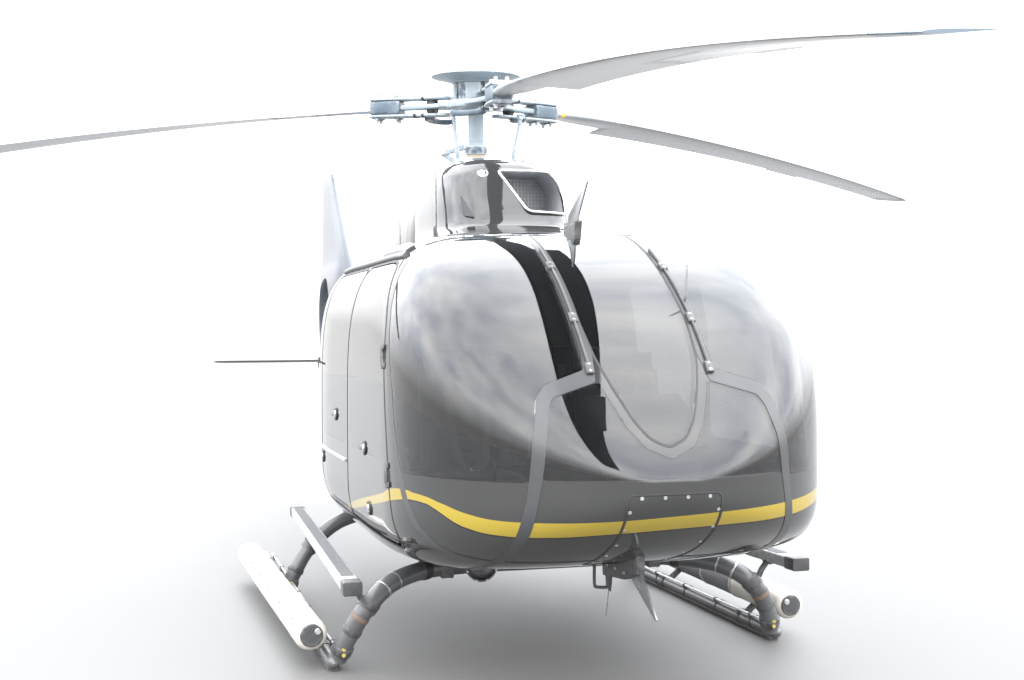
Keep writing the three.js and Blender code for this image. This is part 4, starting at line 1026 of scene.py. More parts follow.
def boltTree():
    tree = bpy.data.node_groups.new("boltRow", "GeometryNodeTree")
    face = tree.interface
    face.new_socket("Geometry", in_out="INPUT", socket_type="NodeSocketGeometry")
    for key, kind, value in (("Radius", "Float", 0.005), ("Height", "Float", 0.004), ("Sides", "Int", 6),
                             ("Washer", "Float", 1.5)):
        face.new_socket(key, in_out="INPUT", socket_type=f"NodeSocket{kind}").default_value = value
    face.new_socket("Material", in_out="INPUT", socket_type="NodeSocketMaterial")
    face.new_socket("Geometry", in_out="OUTPUT", socket_type="NodeSocketGeometry")
    given, out = tree.nodes.new("NodeGroupInput"), tree.nodes.new("NodeGroupOutput")
    link = tree.links.new
    head, under = tree.nodes.new("GeometryNodeMeshCylinder"), tree.nodes.new("GeometryNodeMeshCylinder")
    link(given.outputs["Sides"], head.inputs["Vertices"])
    link(given.outputs["Radius"], head.inputs["Radius"])
    link(given.outputs["Height"], head.inputs["Depth"])
    under.inputs["Vertices"].default_value = 16
    link(mathNode(tree, "MULTIPLY", given.outputs["Radius"], given.outputs["Washer"]), under.inputs["Radius"])
    link(mathNode(tree, "MULTIPLY", given.outputs["Height"], 0.4), under.inputs["Depth"])
    lift, raised = tree.nodes.new("ShaderNodeCombineXYZ"), tree.nodes.new("GeometryNodeTransform")
    link(mathNode(tree, "MULTIPLY", given.outputs["Height"], 0.5), lift.inputs["Z"])
    link(head.outputs["Mesh"], raised.inputs["Geometry"])
    link(lift.outputs[0], raised.inputs["Translation"])
    both = tree.nodes.new("GeometryNodeJoinGeometry")
    link(raised.outputs[0], both.inputs[0])
    link(under.outputs["Mesh"], both.inputs[0])
    facing = addNode(tree, "GeometryNodeInputNamedAttribute", data_type="FLOAT_VECTOR")
    facing.inputs["Name"].default_value = "facing"
    turn = addNode(tree, "FunctionNodeAlignRotationToVector", axis="Z")
    link(facing.outputs[0], turn.inputs["Vector"])
    placed = tree.nodes.new("GeometryNodeInstanceOnPoints")
    link(given.outputs["Geometry"], placed.inputs["Points"])
    link(both.outputs[0], placed.inputs["Instance"])
    link(turn.outputs[0], placed.inputs["Rotation"])
    real, painted = tree.nodes.new("GeometryNodeRealizeInstances"), tree.nodes.new("GeometryNodeSetMaterial")
    link(placed.outputs[0], real.inputs[0])
    link(real.outputs[0], painted.inputs["Geometry"])
    link(given.outputs["Material"], painted.inputs["Material"])
    link(painted.outputs[0], out.inputs[0])
    return tree


bolts = boltTree()


def boltRow(name, spots, facings, radius, height, finish, sides=6, washer=1.5):
    # bolts or screws that stand on the airframe
    return fixed(boltMesh(name, spots, facings, radius, height, finish, sides, washer), finish, 30)


def boltMesh(name, spots, facings, radius, height, finish, sides=6, washer=1.5):
    obj = meshObject(name, spots, [])
    direction = obj.data.attributes.new("facing", "FLOAT_VECTOR", "POINT")
    direction.data.foreach_set("vector", np.asarray(facings, float).ravel())
    rows = obj.modifiers.new("bolts", "NODES")
    rows.node_group = bolts
    values = {"Radius": radius, "Height": height, "Sides": sides, "Washer": washer, "Material": finish}
    for item in bolts.interface.items_tree:
        if item.in_out == "INPUT" and item.name in values:
            rows[item.identifier] = values[item.name]
    return baked(obj)


rotor = {
    "spot": (0, 0.09, 3.312), "tilt": 2.33, "lean": -0.49, "azimuth": 29.3, "star": -0.186,
    "grip": (0.5, 0.7), "trail": 0.2625, "radius": 5.345, "droop": 0.425, "droopPower": 1.85,
    "pitch": 8.9, "twist": -13.1, "thickness": 0.034,
    "stations": [   # radius, leading edge, trailing edge, share of full thickness
        (0.7004, -0.06, 0.06, 1.45), (0.8, -0.07, 0.07, 1.35), (0.95, -0.078, 0.092, 1.2),
        (1.15, -0.0875, 0.104, 1.1), (1.3, -0.0875, 0.112, 1.05), (1.36, -0.0875, 0.2625, 1),
        (2.0, -0.0875, 0.2625, 1), (2.9, -0.0875, 0.2625, 1), (3.9, -0.0875, 0.2625, 0.95),
        (4.7, -0.0875, 0.2625, 0.9), (5.15, -0.0875, 0.2625, 0.85),
        (5.29, -0.0705, 0.2625, 0.65), (5.345, -0.0205, 0.2625, 0.35)],
    "outline": [(0, 0), (0.04, 0.55), (0.15, 0.95), (0.32, 1), (0.65, 0.6), (1, 0.07)],
    "above": 1.15, "below": 0.85, "tab": (3.6, 4.05, 0.035),
    "bands": {"front": (0.32, 0.34, 0.36), "port": (0.85, 0.6, 0.05), "starboard": (0.12, 0.4, 0.72)},
}
rotorPlace = (Matrix.Translation(rotor["spot"]) @ Matrix.Rotation(math.radians(rotor["tilt"]), 4, "X")
              @ Matrix.Rotation(math.radians(rotor["lean"]), 4, "Y"))
headPlace = rotorPlace @ Matrix.Rotation(math.radians(rotor["azimuth"]), 4, "Z")
armPlaces = {name: headPlace @ Matrix.Rotation(math.radians(120 * (i - 1)), 4, "Z")
             for i, name in enumerate(("front", "port", "starboard"))}


def onRotor(obj, finish, nodes=(), angle=35, place=headPlace):
    return finishPiece(moveMesh(obj, place), "main_rotor", finish, nodes, angle)


headBlue = material("blue grey head paint", color=(0.25, 0.31, 0.35), other=(0.3, 0.355, 0.39), patch=12,
    roughness=0.36, change=0.2, grain=180, bump=0.06, bare=(0.6, 0.62, 0.63))
gripBlue = material("dark blue sleeve paint", color=(0.05, 0.08, 0.11), other=(0.08, 0.115, 0.15), patch=16,
    roughness=0.42, change=0.2, grain=200, bump=0.08, bare=(0.4, 0.43, 0.45))
bootTan = material("tan boot", color=(0.5, 0.44, 0.34), other=(0.4, 0.35, 0.27), patch=25, roughness=0.6,
    change=0.2, grain=300, bump=0.1)
alloy = material("bright alloy", color=(0.5, 0.51, 0.52), other=(0.4, 0.41, 0.43), patch=20, roughness=0.35,
    change=0.2, grain=240, bump=0.06, metallic=0.8)
redMark = material("red mark", color=(0.55, 0.03, 0.02), other=(0.4, 0.03, 0.02), patch=30, roughness=0.4,
    change=0.1)

bladeUnit = 6.0     # metres of blade in one unit of its place map
bladePaint = {"tip": 5.17, "tipLine": (5.165, 5.172), "edge": (1.33, 5.17), "edgeShare": 0.075,
              "root": (0.742, 0.775)}


def bladeMaterial(name, band):
    # paint by place along the blade: root band, edge strip of steel and tip cap
    made = material(name, color=(0.3, 0.32, 0.34), other=(0.35, 0.36, 0.38), patch=1.6, roughness=0.34,
                    change=0.2, grain=90, bump=0.05, coat=0.2)
    tree = made.node_tree
    surface = tree.nodes["Principled BSDF"]
    paint = surface.inputs["Base Color"].links[0].from_socket
    spot = addNode(tree, "ShaderNodeUVMap", uv_map="bladePlace")
    parts = tree.nodes.new("ShaderNodeSeparateXYZ")
    tree.links.new(spot.outputs[0], parts.inputs[0])
    radius = mathNode(tree, "MULTIPLY", parts.outputs["X"], bladeUnit)
    share = parts.outputs["Y"]
    tip = mathNode(tree, "GREATER_THAN", radius, bladePaint["tip"])
    strip = mathNode(tree, "MULTIPLY", mathNode(tree, "LESS_THAN", share, bladePaint["edgeShare"]),
                     between(tree, radius, *bladePaint["edge"]))
    color = mixColor(tree, strip, paint, (0.3, 0.3, 0.3))
    color = mixColor(tree, tip, color, (0.1, 0.135, 0.17))
    color = mixColor(tree, between(tree, radius, *bladePaint["root"]), color, band)
    color = mixColor(tree, between(tree, radius, *bladePaint["tipLine"]), color, (0.05, 0.05, 0.05))
    tree.links.new(color, surface.inputs["Base Color"])
    tree.links.new(mathNode(tree, "MULTIPLY", strip, 0.85), surface.inputs["Metallic"])
    return made


def bladePoint(radius, u, v):
    drop = rotor["droop"] * (radius / rotor["radius"]) ** rotor["droopPower"]
    reach = rotor["radius"] - rotor["grip"][1]
    pitch = math.radians(rotor["pitch"] + rotor["twist"] * (radius - rotor["grip"][1]) / reach)
    return (radius, u * math.cos(pitch) + v * math.sin(pitch),
            rotor["star"] - drop - u * math.sin(pitch) + v * math.cos(pitch))


def makeBlade(name):
    outline = wingOutline(rotor["outline"], 5)
    rings, places = [], []
    for radius, lead, trail, share in smoothTable(rotor["stations"], 9):
        half = share * rotor["thickness"] / 2
        rows = [[(bladePoint(radius, lead + f * (trail - lead), side * t * half), (radius / bladeUnit, f))
                 for f, t in outline] for side in (rotor["above"], -rotor["below"])]
        ring = rows[0] + rows[1][:0:-1]
        rings.append([p for p, _ in ring])
        places += [uv for _, uv in ring]
    blade = loft(f"blade_{name}", rings)
    low, high, depth = rotor["tab"]
    start, end = rotor["trail"] - 0.02, rotor["trail"] + depth
    corners = [bladePoint(r, u, v) for r in (low, high)
               for u, v in ((start, 0.0015), (end, 0.0012), (end, -0.0012), (start, -0.0015))]
    tab = meshObject("tab", corners, [(0, 1, 2, 3)[::-1], (4, 5, 6, 7), (0, 4, 5, 1)[::-1], (1, 5, 6, 2)[::-1],
                                      (2, 6, 7, 3)[::-1], (3, 7, 4, 0)[::-1]])
    facesOut(tab)
    count = len(blade.data.vertices)
    whole = merged(f"blade_{name}", [blade, tab])
    layer = whole.data.uv_layers.new(name="bladePlace")
    places += [(low / bladeUnit, 0.9)] * (len(whole.data.vertices) - count)
    for loop in whole.data.loops:
        layer.data[loop.index].uv = places[loop.vertex_index]
    moveMesh(whole, armPlaces[name])
    finishPiece(whole, "main_rotor", bladeMaterial(f"blade paint {name}", rotor["bands"][name]),
                [f"rotor_blade_{name}"], 40)


def makeSleeve(name):
    place, star = armPlaces[name], rotor["star"]
    x = np.array([0.168, 0.18, 0.25, 0.33, 0.43, 0.5, 0.56, 0.7])
    wide = np.array([0.03, 0.04, 0.052, 0.05, 0.046, 0.062, 0.068, 0.07])
    bars = []
    for side in (-1, 1):
        rows = smoothTable(np.stack([x, wide], axis=1), 5)
        line = [(r, 0, star + side * 0.054) for r, _ in rows]
        bars.append(beam("bar", line, rows[:, 1], [0.009] + [0.012] * 8, power=3))
    onRotor(merged(f"sleeve_bars_{name}", bars), headBlue, [f"blade_sleeve_{name}"], angle=40, place=place)
    line = [(r, 0, star) for r in (0.497, 0.5, 0.52, 0.6, 0.68, 0.7, 0.703)]
    dark = [beam("grip", line, [0.05, 0.066, 0.067, 0.067, 0.066, 0.05],
                 [0.028, 0.044, 0.045, 0.045, 0.044, 0.028], power=7, sides=40)]
    for side in (-1, 1):
        for r in (0.53, 0.66):
            line = [(r + d, 0, star + side * 0.067) for d in (-0.022, 0.022)]
            dark.append(beam("plate", line, 0.05, 0.005, power=8))
    horn = smoothRow([(0.32, -0.02, -0.07), (0.316, -0.07, -0.078), (0.285, -0.13, -0.083),
                      (0.235, -0.178, -0.08), (0.212, -0.196, -0.07)], 4)
    dark.append(beam("horn", horn + (0, 0, star), [0.034, 0.03, 0.026, 0.026, 0.028],
                     [0.02, 0.018, 0.017, 0.018, 0.016]))
    onRotor(merged(f"sleeve_grip_{name}", dark), gripBlue, angle=40, place=place)
    soft = [roundBar("pad", (0.292, 0, star + side * 0.0176), (0.292, 0, star + side * 0.043), 0.04, 0.034, 32)
            for side in (-1, 1)]
    for side, r in ((1, 0.345), (-1, 0.345), (-1, 0.4)):
        line = [(r + d, 0, star + side * 0.054) for d in (-0.008, 0.008)]
        soft.append(beam("ring", line, 0.052, 0.0145, power=3))
    onRotor(merged(f"sleeve_rubber_{name}", soft), rubber, angle=40, place=place)
    spots, facings = [], []
    for side in (-1, 1):
        for r, y in ((0.53, -0.03), (0.53, 0.03), (0.66, -0.035), (0.66, 0.035)):
            spots.append((r, y, star + side * 0.072))
            facings.append((0, 0, side))
    onRotor(boltMesh(f"sleeve_bolts_{name}", spots, facings, 0.012, 0.022, alloy, washer=1.35), alloy, angle=30,
            place=place)


def makeHead():
    star = rotor["star"]
    disc = [(0, -0.024), (0.18, -0.024), (0.192, -0.021), (0.195, -0.014), (0.195, 0.014), (0.192, 0.021),
            (0.18, 0.024), (0, 0.024)]
    parts = [turned("star", disc, (0, 0, star), sides=96)]
    for i in range(3):
        turn = Matrix.Rotation(math.radians(120 * (i - 1)), 4, "Z")
        rows = smoothTable([(0.15, 0.118), (0.3, 0.058), (0.4, 0.038), (0.4996, 0.04)], 6)
        parts.append(moveMesh(beam("arm", [(r, 0, star) for r, _ in rows], rows[:, 1], 0.017, power=5), turn))
    onRotor(merged("rotor_star", parts), headBlue, ["hub_star"])

    dish = [(0, -0.05), (0.15, -0.05), (0.155, -0.044), (0.175, -0.037), (0.23, -0.0225), (0.28, -0.0115),
            (0.286, -0.008), (0.286, -0.003), (0.282, 0), (0.18, -0.002), (0.17, -0.006), (0, -0.006)]
    onRotor(turned("hub_plate", dish, (0, 0, 0), sides=128), headBlue, ["hub_dish"], angle=30)
    core = [(0, -0.1616), (0.13, -0.1616), (0.133, -0.158), (0.133, -0.052), (0, -0.052)]
    onRotor(turned("core", core, (0, 0, 0), sides=64), gripBlue, angle=30)
    plates = []
    for start in (10, 82, 130, 202, 250, 322):
        turn = np.radians(np.linspace(start, start + 36, 9))
        arc = [(0.146 * math.cos(t), 0.146 * math.sin(t), -0.106) for t in turn]
        plates.append(beam("plate", arc, 0.008, 0.053, power=8))
    onRotor(merged("hub_plates", plates), headBlue)
    turn = np.linspace(0, 2 * math.pi, 24, endpoint=False)
    rim = [(0.245 * math.cos(t), 0.245 * math.sin(t), -0.0012) for t in turn]
    inner = [(0.12 * math.cos(t), 0.12 * math.sin(t), -0.006) for t in turn[::2]]
    onRotor(boltMesh("dish_bolts", rim + inner, [(0, 0, 1)] * 36, 0.006, 0.005, alloy), alloy, angle=30)

    mast = [(0, -0.5), (0.066, -0.5), (0.068, -0.498), (0.068, -0.448), (0.065, -0.444), (0.058, -0.44),
            (0.058, -0.436), (0.05, -0.43), (0.05, -0.25), (0.054, -0.243), (0.086, -0.222), (0.09, -0.215),
            (0.09, -0.2104), (0, -0.2104)]
    onRotor(turned("mast_tube", mast, (0, 0, 0), sides=64), headBlue, ["rotor_mast"], angle=30,
            place=rotorPlace)
    band = [(0.069, -0.494), (0.0715, -0.492), (0.0715, -0.456), (0.069, -0.454)]
    onRotor(turned("collar_band", [(0.05, -0.494)] + band + [(0.05, -0.454)], (0, 0, 0), sides=64), gripBlue,
            angle=30, place=rotorPlace)
    ribs = [(0.0, -0.64), (0.1, -0.64), (0.1, -0.582), (0.096, -0.578), (0.064, -0.574), (0.0, -0.574)]
    fixed(combine(moveMesh(turned("mast_flange", ribs, (0, 0, 0), sides=72), rotorPlace),
                  [blockMesh((-0.3, 0.3), (-0.3, 0.4), (2.4, 2.7254))]), alloy, 30,
          nodes=["mast_base"])
    boot = [(0, -0.574), (0.064, -0.574), (0.061, -0.566), (0.058, -0.562), (0.058, -0.54), (0.0605, -0.536),
            (0.058, -0.532), (0.058, -0.512), (0.061, -0.508), (0.058, -0.5004), (0, -0.5004)]
    fixed(moveMesh(turned("mast_boot", boot, (0, 0, 0), sides=64), rotorPlace), bootTan,
          angle=40)


swash = {"low": -0.566, "high": -0.552, "link": 0.23, "horn": 0.289, "hornAngle": -42.7,
         "scissorAngle": 135.2, "scissor": [(0.076, -0.452), (0.215, -0.489), (0.112, -0.562)]}


def makeSwash():
    low, high = swash["low"], swash["high"]
    rounded = [(0.076, low), (0.12, low), (0.122, low + 0.002), (0.122, high - 0.002), (0.12, high),
               (0.078, high), (0.076, high - 0.002), (0.076, low)]
    parts = [turned("ring", rounded, (0, 0, 0), sides=72)]
    light, spots, facings = [], [], []
    for i in range(3):
        turn = Matrix.Rotation(math.radians(swash["hornAngle"] + 120 * i), 4, "Z")
        middle = (low + high) / 2
        line = [(r, 0, middle) for r in (0.1, 0.18, 0.236, 0.246)]
        parts.append(moveMesh(beam("arm", line, [0.026, 0.02, 0.014, 0.008], 0.007), turn))
        foot = np.array((swash["link"], 0, low + 0.008))
        top = np.array((swash["horn"], 0, rotor["star"] - 0.072))
        length = np.linalg.norm(top - foot)
        along = (top - foot) / length
        profile = [(0, 0), (0.017, 0), (0.017, 0.014), (0.0135, 0.018), (0.0135, 0.05), (0.0135, 0.054),
                   (0.0135, 0.11), (0.011, 0.114), (0.011, length - 0.05), (0.0135, length - 0.048),
                   (0.0135, length - 0.02), (0.017, length - 0.016), (0.017, length), (0, length)]
        light.append(moveMesh(turned("link", profile, foot, along, 20), turn))
        spots += [tuple(turn @ Vector(foot + along * s)) for s in (0.007, length - 0.008)]
        out = turn @ Vector((0, -1, 0))
        facings += [tuple(out)] * 2
    onRotor(merged("swash_ring", parts), alloy, ["rotating_swashplate"])
    turn = Matrix.Rotation(math.radians(swash["scissorAngle"]), 4, "Z")
    a, b, c = [np.array((r, 0, z)) for r, z in swash["scissor"]]
    for start, end, half in ((a, b, 0.019), (b, c, 0.011)):
        for side in (-1, 1):
            low, high = start + (0, side * half, 0), end + (0, side * half, 0)
            arm = beam("scissor", [low, low * 0.5 + high * 0.5, high], 0.006, [0.019, 0.016, 0.019],
                       (0.3, 0, 1))
            light.append(moveMesh(arm, turn))
    for spot, half in ((a, 0.026), (b, 0.03), (c, 0.018)):
        pin = roundBar("pin", spot - (0, half, 0), spot + (0, half, 0), 0.0135, sides=24)
        light.append(moveMesh(pin, turn))
    onRotor(merged("control_links", light), headBlue)
    onRotor(boltMesh("link_bolts", spots, facings, 0.009, 0.014, alloy), alloy, angle=30)
    mark = roundBar("red_spot", a + (0, -0.0265, 0), a + (0, -0.031, 0), 0.012, sides=24)
    onRotor(moveMesh(mark, turn), redMark, angle=30)
    loop = smoothRow([(0.6, 0.02, 0.06), (0.66, 0.03, 0.1), (0.76, 0.02, 0.115), (0.83, 0.0, 0.08),
                      (0.85, -0.01, 0.03)], 5)
    onRotor(rod("bonding_wire", loop + (0, 0, rotor["star"]), 0.0022, 10), rubber,
            angle=None, place=armPlaces["starboard"])


for armName in armPlaces:
    makeBlade(armName)
    makeSleeve(armName)
makeHead()
makeSwash()
print("stage: rotor")


# Landing gear, boarding steps, float packs, cable cutters and belly lamp
tubeBlack = material("gear tube paint", color=(0.062, 0.063, 0.066), other=(0.08, 0.081, 0.083), patch=7,
    roughness=0.34, change=0.25, grain=160, bump=0.1, coat=0.2, bare=(0.2, 0.2, 0.2))
stepGrey = material("grey step paint", color=(0.25, 0.255, 0.26), other=(0.31, 0.315, 0.32), patch=12,
    roughness=0.5, change=0.25, grain=320, bump=0.3, bare=(0.4, 0.4, 0.4))
treadBlack = material("gritty tread", color=(0.07, 0.072, 0.075), other=(0.11, 0.11, 0.112), patch=20,
    roughness=0.85, change=0.2, grain=700, bump=0.8, depth=0.0015)
bronze = material("brown collar", color=(0.16, 0.1, 0.065), other=(0.12, 0.08, 0.055), patch=30,
    roughness=0.5, change=0.2, grain=240, bump=0.1)
paleStrap = material("pale strap webbing", color=(0.5, 0.49, 0.46), other=(0.4, 0.39, 0.37), patch=30,
    roughness=0.7, change=0.1, grain=900, bump=0.3)
zinc = material("yellow plated bolt", color=(0.6, 0.5, 0.16), other=(0.5, 0.4, 0.12), patch=40,
    roughness=0.35, change=0.1, grain=300, bump=0.05, metallic=0.8)
bladeEdge = material("ground cutter steel", color=(0.3, 0.31, 0.32), other=(0.22, 0.225, 0.23), patch=18,
    roughness=0.3, change=0.2, grain=260, bump=0.1, metallic=0.7)
amberGlass = material("amber lamp glass", color=(0.55, 0.3, 0.1), other=(0.7, 0.5, 0.3), patch=40,
    roughness=0.15, change=0.1, coat=1)

gear = {
    "skid": {"x": 1.197, "z": 0.046, "radius": 0.038, "front": -1.765, "rear": 1.76},
    "shoe": {"half": 0.024, "front": -1.705, "rear": 1.72, "top": 0.022},
    "tubeRadius": 0.047,
    "front": [(0.3, -1.45, 0.4502), (0.64, -1.5, 0.446), (0.88, -1.68, 0.422), (1.03, -1.785, 0.33),
              (1.125, -1.76, 0.18), (1.172, -1.708, 0.062)],
    "rear": [(0.3, 0.395, 0.52), (0.6, 0.392, 0.517), (0.86, 0.37, 0.455), (1.045, 0.34, 0.31),
             (1.155, 0.322, 0.14), (1.185, 0.318, 0.062)],
    # collars as (step along half the tube, half width, growth over the tube, finish)
    "collars": [(12, 0.022, 0.004, "rubber"), (20, 0.004, 0.0015, "alloy"), (24, 0.006, 0.0025, "alloy"),
                (29, 0.005, 0.002, "alloy"), (34, 0.011, 0.003, "bronze"), (38, 0.016, 0.005, "satinBlack"),
                (45, 0.024, 0.008, "satinBlack")],
    "step": {"frontX": 1.2, "rearX": 1.105, "front": -2.1, "rear": 0.9, "top": 0.5, "width": 0.085,
             "height": 0.06, "postRadius": 0.016, "lean": {"front": 0.11, "rear": 0.03}},
    "pack": {"frontX": 1.3, "rearX": 1.37, "z": 0.178, "radius": 0.084, "front": -1.7, "rear": 1.0,
             "brackets": (-1.3, -0.15, 0.85), "armRadius": 0.02},
}
collarFinishes = {"rubber": rubber, "alloy": alloy, "bronze": bronze, "satinBlack": satinBlack}


def ring(name, spot, along, radius, half, growth, finish):
    rows = [(radius - 0.006, -half), (radius + growth * 0.6, -half), (radius + growth, -half * 0.7),
            (radius + growth, half * 0.7), (radius + growth * 0.6, half), (radius - 0.006, half),
            (radius - 0.006, -half)]
    return fixed(turned(name, rows, spot, along, 40), finish, 30)


def makeTube(which):
    half = smoothRow(gear[which], 10)
    whole = np.vstack([(half * (-1, 1, 1))[::-1], half])
    fixed(rod(f"{which}_gear_tube", whole, gear["tubeRadius"], 40), tubeBlack, angle=50,
          nodes=[f"{which}_cross_tube"])
    headings = np.gradient(half, axis=0)
    collars = gear["collars"] if which == "front" else gear["collars"][-2:]
    for side, sign in sides.items():
        mirror = (sign, 1, 1)
        for i, (step, width, growth, finish) in enumerate(collars):
            ring(f"{which}_collar_{side}_{i}", half[step] * mirror, headings[step] * mirror, gear["tubeRadius"],
                 width, growth, collarFinishes[finish])
        # a clamp block under the belly, and lashing bolts at the collars
        spot = half[8] * mirror
        clamp = blockMesh(*[(c - w, c + w) for c, w in zip(spot, (0.034, 0.056, 0.052))],
                          f"{which}_clamp_{side}")
        fixed(bevelled(clamp, 0.006), satinBlack)
        low = spot - (0, 0, 0.052)
        spots = [low + (dx, dy, 0) for dx in (-0.022, 0.022) for dy in (-0.04, 0.04)]
        boltRow(f"{which}_clamp_bolts_{side}", spots, [(0, 0, -1)] * 4, 0.006, 0.007, alloy)
        foot = half[45] * mirror
        for k in (-1, 1):
            spots = [foot + (0, k * 0.054, dz) for dz in (0.004, -0.022)]
            boltRow(f"{which}_foot_bolts_{side}_{k}", spots, [(0, k, 0)] * 2, 0.007, 0.008, zinc)


def makeSkid(side, sign):
    s = gear["skid"]
    x, z, r = s["x"] * sign, s["z"], s["radius"]
    nose = [(0.0, 0.0), (0.016, 0.55), (0.034, 0.85), (0.05, 1.0)]
    rows = [(x, s["front"] + d, z, share) for d, share in nose]
    rows += [(x, y, z, 1.0) for y in np.linspace(s["front"] + 0.1, s["rear"] - 0.1, 20)]
    rows += [(x, s["rear"] - d, z, share) for d, share in nose[::-1]]
    table = np.array(rows)
    turn = np.linspace(0, 2 * math.pi, 32, endpoint=False)
    rings = [[(px + max(share, 0.02) * r * math.cos(t), py, pz + max(share, 0.02) * r * math.sin(t))
              for t in turn] for px, py, pz, share in table]
    runner = loft("runner", rings)
    shoe = gear["shoe"]
    plate = blockMesh((x - shoe["half"], x + shoe["half"]), (shoe["front"], shoe["rear"]), (0, shoe["top"]),
                      "shoe")
    fixed(merged(f"skid_runner_{side}", [runner, bevelled(plate, 0.003)]), tubeBlack, angle=40,
          nodes=[f"skid_{side}"])
    # a thin line clipped along the inner top of the runner
    lineX, lineZ = x - sign * 0.03, z + r + 0.008
    line = [(lineX, y, lineZ) for y in np.linspace(s["front"] + 0.16, s["rear"] - 0.25, 12)]
    fixed(rod(f"skid_line_{side}", line, 0.0075, 12), alloy, angle=50)
    for i, y in enumerate(np.linspace(s["front"] + 0.3, s["rear"] - 0.4, 7)):
        ring(f"skid_clip_{side}_{i}", (x, y, z), (0, 1, 0), r, 0.009, 0.004, satinBlack)
        head = blockMesh((lineX - 0.012, lineX + 0.012), (y - 0.009, y + 0.009), (lineZ - 0.016, lineZ + 0.01),
                         f"skid_clip_head_{side}_{i}")
        fixed(bevelled(head, 0.003), satinBlack)
    wear = [(x + sign * shoe["half"], y, shoe["top"] * 0.55)
            for y in np.arange(shoe["front"] + 0.08, shoe["rear"], 0.22)]
    boltRow(f"shoe_bolts_{side}", wear, [(sign, 0, 0)] * len(wear), 0.005, 0.004, alloy)


def makeStep(side, sign):
    s = gear["step"]
    def edge(y):
        return s["frontX"] + (s["rearX"] - s["frontX"]) * (y - s["front"]) / (s["rear"] - s["front"])
    low, high = s["top"] - s["height"], s["top"]
    def beamPart(name, ends, grow):
        rings = []
        for y in ends:
            left, right = sorted((sign * edge(y), sign * (edge(y) - s["width"])))
            corners = [(left - grow, low - grow), (right + grow, low - grow), (right + grow, high + grow),
                       (left - grow, high + grow)]
            rings.append([(x, y, z) for x, z in roundedOutline(corners, 0.012, 5)])
        return loft(name, rings)
    bar = beamPart("bar", (s["front"] + 0.03, s["rear"] - 0.02), 0.0)
    posts = []
    for which in ("front", "rear"):
        foot = np.array(gear[which][3]) * (sign, 1, 1)
        head = np.array((sign * (gear[which][3][0] + s["lean"][which]), foot[1], s["top"] - s["height"] / 2))
        posts.append(rod("post", [foot + (sign * 0.02, 0, 0), (foot + head) / 2, head], s["postRadius"], 20))
        plate = bevelled(blockMesh((head[0] - 0.03, head[0] + 0.03), (head[1] - 0.045, head[1] + 0.045),
                                   (low - 0.008, low + 0.004), "plate"), 0.002)
        posts.append(plate)
        spots = [head + (dx, dy, low - 0.008 - head[2]) for dx in (-0.02, 0.02) for dy in (-0.032, 0.032)]
        boltRow(f"step_bolts_{side}_{which}", spots, [(0, 0, -1)] * 4, 0.005, 0.006, alloy)
        path = smoothRow(gear[which], 10)
        ring(f"step_post_collar_{side}_{which}", foot, (path[33] - path[27]) * (sign, 1, 1), gear["tubeRadius"],
             0.03, 0.007, satinBlack)
    fixed(bar, stepGrey, angle=40, name=f"step_bar_{side}", nodes=[f"boarding_step_{side}"])
    fixed(merged(f"step_posts_{side}", posts), satinBlack, angle=40)
    tread = [(-0.032, high - 0.002), (0.032, high - 0.002), (0.03, high + 0.0025), (-0.03, high + 0.0025)]
    rings = [[(sign * (edge(y) - s["width"] / 2) + dx, y, z) for dx, z in tread]
             for y in np.linspace(s["front"] + 0.2, s["rear"] - 0.1, 12)]
    fixed(loft(f"step_tread_{side}", rings), treadBlack, angle=30)
    for i, ends in enumerate(((s["front"], s["front"] + 0.1), (s["rear"] - 0.07, s["rear"]))):
        fixed(bevelled(beamPart(f"step_cap_{side}_{i}", ends, 0.004), 0.004), satinBlack)


def coverMaterial(name, tint, band):
    # coated cloth: fine weave, creases and a lower side painted darker towards the bottom
    made = material(name, tint, tuple(0.82 * c for c in tint), patch=5, roughness=0.55, change=0.2, grain=30,
                    bump=0.25, depth=0.004, amount=0.9)
    tree = made.node_tree
    surface = tree.nodes["Principled BSDF"]
    spot = tree.nodes.new("ShaderNodeTexCoord")
    parts = tree.nodes.new("ShaderNodeSeparateXYZ")
    tree.links.new(spot.outputs["Object"], parts.inputs[0])
    cloth = surface.inputs["Base Color"].links[0].from_socket
    y = mathNode(tree, "SUBTRACT", parts.outputs["Y"], float(shift[1]))
    # the cloth colour is darkened towards the cover's lower side, most at the bottom
    lowerDarkening = mapRange(tree, parts.outputs["Z"], 0.1, 0.19, 0.45, 0.0)
    darkenedCloth = mixColor(tree, lowerDarkening, cloth, tuple(0.55 * c for c in tint))
    if band:
        low, high, dark = band
        darkenedCloth = mixColor(tree, between(tree, y, low, high), darkenedCloth, dark)
    tree.links.new(darkenedCloth, surface.inputs["Base Color"])
    threads = addNode(tree, "ShaderNodeTexWave", Scale=180.0, Distortion=0.6, Detail=1.0)
    tree.links.new(spot.outputs["Object"], threads.inputs["Vector"])
    weave = addNode(tree, "ShaderNodeBump", Strength=0.12, Distance=0.0006)
    tree.links.new(threads.outputs["Fac"], weave.inputs["Height"])
    tree.links.new(surface.inputs["Normal"].links[0].from_socket, weave.inputs["Normal"])
    tree.links.new(weave.outputs["Normal"], surface.inputs["Normal"])
    return made


cream = (0.62, 0.59, 0.52)
covers = {"starboard": coverMaterial("cream float cover", cream, None),
          "port": coverMaterial("cream and grey float cover", cream, (-1.05, 0.15, (0.12, 0.122, 0.125)))}


